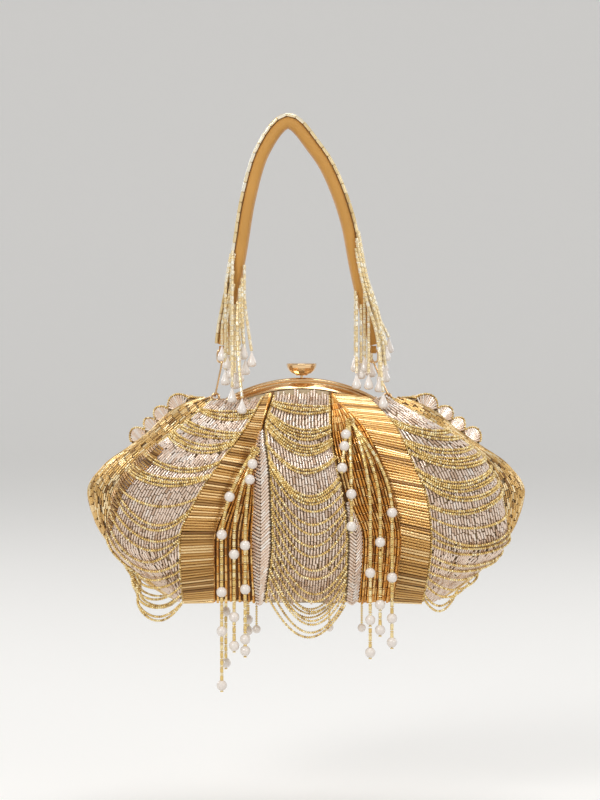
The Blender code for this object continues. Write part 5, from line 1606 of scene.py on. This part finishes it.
def make_lining():
    """Cloth bag inside the body, cut lower in front, where the body folds as the mouth opens."""
    top, floor = HINGE_Z - LINING_DROP, BASE_Z + BASE_SHEET + 2 * GAP
    outer = [ring_at(z, LINING_INSET, LINING_END_INSET) for z in np.linspace(floor, top, LINING_RINGS)]
    inner = [ring_at(z, LINING_INSET + LINING_SHEET, LINING_END_INSET + LINING_SHEET)
             for z in np.linspace(top, floor + LINING_SHEET, LINING_RINGS)]
    for ring in outer + inner:
        share = (ring[:, 2] - floor) / (top - floor)
        ring[:, 2] -= share * LINING_CUT * np.clip(-ring[:, 1] / LINING_CUT_DEPTH, 0, 1)
    bag = swept("lining_bag", outer + inner, finish_of("lining"))
    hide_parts("lining")
    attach(bag, "pouch")


def make_base():
    """Stiff flat base covered in cloth, with a row of seeds round its edge."""
    rings = [ring_at(BASE_Z + lift, BASE_INSET + inset, BASE_END_INSET + inset)
             for lift, inset in ((BASE_SHEET, 0.0003), (BASE_SHEET * 0.8, 0.0), (BASE_SHEET * 0.2, 0.0),
                                 (0.0, 0.0004))]
    base = swept("base_cloth", rings, finish_of("cloth"))
    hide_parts("base_panel")
    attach(base, "pouch")
    route = ring_at(BASE_Z + BASE_SEED_RADIUS, 0.0, 0.0)
    seeds = Beads()
    bead_line(seeds, SEED, np.concatenate([route, route[:1]]), BASE_SEED_PITCH, BASE_SEED_RADIUS, gap=-0.05)
    piece = seeds.make("base_edge_seeds", finish_of("gold seeds"), ALL_SMOOTH)
    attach(piece, "pouch")


def make_mouth_facing(side):
    """Cloth turned in from the mouth's edge to the frame, under the rim."""
    angle = np.linspace(-FACING_REACH, FACING_REACH, 81)
    outer = padded_surface(angle, mouth_z(angle)) - (0, 0, FACING_DROP)
    inner = outer.copy()
    arm = ARM_X + FACING_AT_ARM
    inner[:, 0] = np.clip(outer[:, 0], FRAME_X - arm, FRAME_X + arm)
    inner[:, 1] = -RIM_WIDTH * 0.95
    outer[:, 1] += FACING_EDGE
    sheet, flip = (0, 0, FACING_SHEET), (1, 1 if side == "front" else -1, 1)
    rows = [np.array([a, b, b - sheet, a - sheet]) * flip for a, b in zip(inner, outer)]
    facing = swept("mouth_facing_" + side, rows, finish_of("cloth"))
    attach(facing, "front_half" if side == "front" else "pouch")


def make_gusset(side):
    """Small cloth gusset that closes the mouth's end outside the frame's arm."""
    hand, sheet = hand_of(side), (0, 0, GUSSET_SHEET)
    turn = np.linspace(-math.pi / 2, math.pi / 2, 13)
    z = np.full(13, GUSSET_Z)
    edge = body_surface(hand * (math.pi / 2 - np.abs(turn) * GUSSET_TURN), z)
    edge[:, 1] = np.copysign(edge[:, 1], turn)
    inner = np.stack([np.full(13, FRAME_X + hand * (ARM_X + GUSSET_AT_ARM)), edge[:, 1], z], -1)
    edge[:, 0] -= hand * GUSSET_EDGE
    rows = [np.array([a, b, b - sheet, a - sheet]) for a, b in zip(inner, edge)]
    gusset = swept("mouth_gusset_" + side, rows, finish_of("cloth"))
    fold(gusset)


# Stage

def seen_glow(tree, base, added):
    """Strength that is higher where the background is seen, straight or in metal and glass."""
    rays = node(tree, "ShaderNodeLightPath").outputs
    total = rays["Is Camera Ray"]
    for label in ("Is Glossy Ray", "Is Transmission Ray"):
        total = node(tree, "ShaderNodeMath", {0: total, 1: rays[label]}, operation="ADD").outputs[0]
    return node(tree, "ShaderNodeMath", {0: total, 1: added, 2: base}, operation="MULTIPLY_ADD").outputs[0]


def make_backdrop(floor_z):
    """Pale floor that bends up into a wall."""
    bm = bmesh.new()
    depth, bend = BACKDROP_BACK, BACKDROP_BEND
    line = [(BACKDROP_FRONT, floor_z), (depth, floor_z)]
    line += [(depth + bend * math.sin(a), floor_z + bend * (1 - math.cos(a)))
             for a in (math.pi / 2 * k / 12 for k in range(1, 13))]
    line.append((depth + bend, floor_z + BACKDROP_RISE))
    verts = [bm.verts.new((-BACKDROP_HALF_WIDTH, y, z)) for y, z in line]
    edges = [bm.edges.new(pair) for pair in zip(verts, verts[1:])]
    made = bmesh.ops.extrude_edge_only(bm, edges=edges)
    bmesh.ops.translate(bm, verts=[g for g in made["geom"] if isinstance(g, bmesh.types.BMVert)],
                        vec=(2 * BACKDROP_HALF_WIDTH, 0, 0))
    bmesh.ops.recalc_face_normals(bm, faces=bm.faces)
    pale, tree, shader = start_material("Pale backdrop", Roughness=0.9)
    shader.inputs["Base Color"].default_value = (0.80, 0.79, 0.77, 1)
    shader.inputs["Emission Color"].default_value = (1.0, 0.99, 0.97, 1)
    tree.links.new(seen_glow(tree, 0.0, 0.20), shader.inputs["Emission Strength"])
    finish_mesh("stage_backdrop", bm, pale)


def make_lamps(target):
    """Square lamps round the bag, all turned to the target, and a pale world."""
    for name, (place, size, power) in LAMPS.items():
        lamp = bpy.data.lights.new("lamp_" + name, "AREA")
        lamp.shape, lamp.size, lamp.energy = "SQUARE", size, power
        made = bpy.data.objects.new("lamp_" + name, lamp)
        made.location = place
        made.rotation_euler = (target - Vector(place)).to_track_quat("-Z", "Y").to_euler()
        bpy.context.collection.objects.link(made)
    world = bpy.data.worlds.new("Soft studio")
    world.use_nodes = True
    sky = world.node_tree.nodes["Background"]
    sky.inputs["Color"].default_value = (0.93, 0.93, 0.93, 1)
    world.node_tree.links.new(seen_glow(world.node_tree, 0.48, 0.13), sky.inputs["Strength"])
    bpy.context.scene.world = world


def make_camera(target, view):
    """Camera in front of the target, whose lens keeps the picture's height at any distance."""
    camera_data = bpy.data.cameras.new("camera")
    camera_data.lens = SENSOR_WIDTH / 2 * view.distance / (view.view_height / 2)
    camera = bpy.data.objects.new("camera", camera_data)
    away = Vector((0, -math.cos(view.elevation), math.sin(view.elevation)))
    camera.location = target + away * view.distance
    camera.rotation_euler = (-away).to_track_quat("-Z", "Y").to_euler()
    bpy.context.collection.objects.link(camera)
    bpy.context.scene.camera = camera
    bpy.context.scene.view_settings.view_transform = "Standard"


# Operators

class BAG_OT_stage(bpy.types.Operator):
    """Backdrop, lamps and camera"""
    bl_idname = "bag.stage"
    bl_label = "Stage"

    def execute(self, context):
        view, target = settings("stage"), Vector(LOOK_AT)
        make_backdrop(view.floor_z)
        make_lamps(target)
        make_camera(target, view)
        return {"FINISHED"}


class BAG_OT_frame(bpy.types.Operator):
    """Both halves of the polished frame"""
    bl_idname = "bag.frame"
    bl_label = "Frame"

    def execute(self, context):
        for side in SIDES:
            make_frame_half(side)
        return {"FINISHED"}


class BAG_OT_fittings(bpy.types.Operator):
    """Faceted knob, hinge pins and lock keeper"""
    bl_idname = "bag.fittings"
    bl_label = "Lock and hinges"

    def execute(self, context):
        make_knob()
        make_fittings()
        return {"FINISHED"}


class BAG_OT_inside(bpy.types.Operator):
    """Lining, base, and the facings and gussets of the mouth"""
    bl_idname = "bag.inside"
    bl_label = "Inside and base"

    def execute(self, context):
        make_lining()
        make_base()
        for hand in HANDS:
            make_gusset(hand)
        for side in SIDES:
            make_mouth_facing(side)
        return {"FINISHED"}


class BAG_OT_strap(bpy.types.Operator):
    """Satin strap with its beaded facing, and the tabs at its ends"""
    bl_idname = "bag.strap"
    bl_label = "Strap"

    def execute(self, context):
        make_strap()
        for hand in HANDS:
            make_strap_tab(hand)
        return {"FINISHED"}


class BAG_OT_links(bpy.types.Operator):
    """Oval rings, clips with gates, and the frame's rings"""
    bl_idname = "bag.links"
    bl_label = "Links"

    def execute(self, context):
        for hand in HANDS:
            make_links(hand)
        return {"FINISHED"}


class BAG_OT_strap_fringes(bpy.types.Operator):
    """Bead strands with drop pearls at both ends of the strap"""
    bl_idname = "bag.strap_fringes"
    bl_label = "Strap fringes"

    def execute(self, context):
        for hand in HANDS:
            make_strap_fringe(hand)
        return {"FINISHED"}


class BAG_OT_lobes(bpy.types.Operator):
    """Padded lobes covered with silver bugles"""
    bl_idname = "bag.lobes"
    bl_label = "Lobes"

    def execute(self, context):
        for side in SIDES:
            for name in LOBES:
                make_lobe(side, name)
        return {"FINISHED"}


class BAG_OT_gores(bpy.types.Operator):
    """Padded end gores covered with bronze bugles, and the band at the left seam"""
    bl_idname = "bag.gores"
    bl_label = "End gores"

    def execute(self, context):
        for hand in HANDS:
            make_gore(hand)
        make_seam_band()
        return {"FINISHED"}


class BAG_OT_pleats(bpy.types.Operator):
    """Pleats filled with amber strings"""
    bl_idname = "bag.pleats"
    bl_label = "Pleats"

    def execute(self, context):
        for side in SIDES:
            make_pleats(side)
        return {"FINISHED"}


class BAG_OT_ladders(bpy.types.Operator):
    """Long gold bugles laid across like rungs"""
    bl_idname = "bag.ladders"
    bl_label = "Ladder bands"

    def execute(self, context):
        for side in SIDES:
            make_ladders(side)
        return {"FINISHED"}


class BAG_OT_herringbones(bpy.types.Operator):
    """Silver bugles sewn as chevrons"""
    bl_idname = "bag.herringbones"
    bl_label = "Herringbone bands"

    def execute(self, context):
        for side in SIDES:
            make_herringbones(side)
        return {"FINISHED"}


class BAG_OT_swags(bpy.types.Operator):
    """Curved strands of gold seed beads"""
    bl_idname = "bag.swags"
    bl_label = "Swags"

    def execute(self, context):
        for side in SIDES:
            for name in LOBES:
                make_swags(side, name)
        return {"FINISHED"}


class BAG_OT_ruffles(bpy.types.Operator):
    """Rows of gathered petals along the rear shoulders"""
    bl_idname = "bag.ruffles"
    bl_label = "Rear petals"

    def execute(self, context):
        for hand in HANDS:
            make_ruffle(hand)
        return {"FINISHED"}


class BAG_OT_pearls(bpy.types.Operator):
    """Strands with round pearls in the pleats, and single pearls under the base"""
    bl_idname = "bag.pearls"
    bl_label = "Pearl fringes"

    def execute(self, context):
        for side in SIDES:
            for hand in HANDS:
                make_pleat_fringe(side, hand)
        make_base_pearls()
        return {"FINISHED"}


OPERATORS = (
    BAG_OT_stage, BAG_OT_frame, BAG_OT_fittings, BAG_OT_inside, BAG_OT_strap, BAG_OT_links,
    BAG_OT_strap_fringes, BAG_OT_lobes, BAG_OT_gores, BAG_OT_pleats, BAG_OT_ladders,
    BAG_OT_herringbones, BAG_OT_swags, BAG_OT_ruffles, BAG_OT_pearls,
)


class BAG_PT_build(bpy.types.Panel):
    """Lists the bag's settings and the operators that make its pieces."""
    bl_idname = "BAG_PT_build"
    bl_label = "Beaded Evening Bag"
    bl_space_type = "VIEW_3D"
    bl_region_type = "UI"
    bl_category = "Bag"

    def draw(self, context):
        for kind, group in SETTINGS:
            box = self.layout.box()
            for name in group.__annotations__:
                box.prop(getattr(context.scene, "bag_" + kind), name)
        for made in OPERATORS:
            self.layout.operator(made.bl_idname)


SETTINGS = (("beads", BagBeadSettings), ("colours", BagColourSettings), ("stage", BagStageSettings))
CLASSES = tuple(group for _, group in SETTINGS) + OPERATORS + (BAG_PT_build,)


def register():
    for made in CLASSES:
        bpy.utils.register_class(made)
    for kind, group in SETTINGS:
        setattr(bpy.types.Scene, "bag_" + kind, bpy.props.PointerProperty(type=group))


def unregister():
    for kind, _ in SETTINGS:
        delattr(bpy.types.Scene, "bag_" + kind)
    for made in reversed(CLASSES):
        bpy.utils.unregister_class(made)


def main():
    register()
    for made in OPERATORS:
        getattr(bpy.ops.bag, made.bl_idname.partition(".")[2])()
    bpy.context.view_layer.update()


if __name__ == "__main__":
    main()
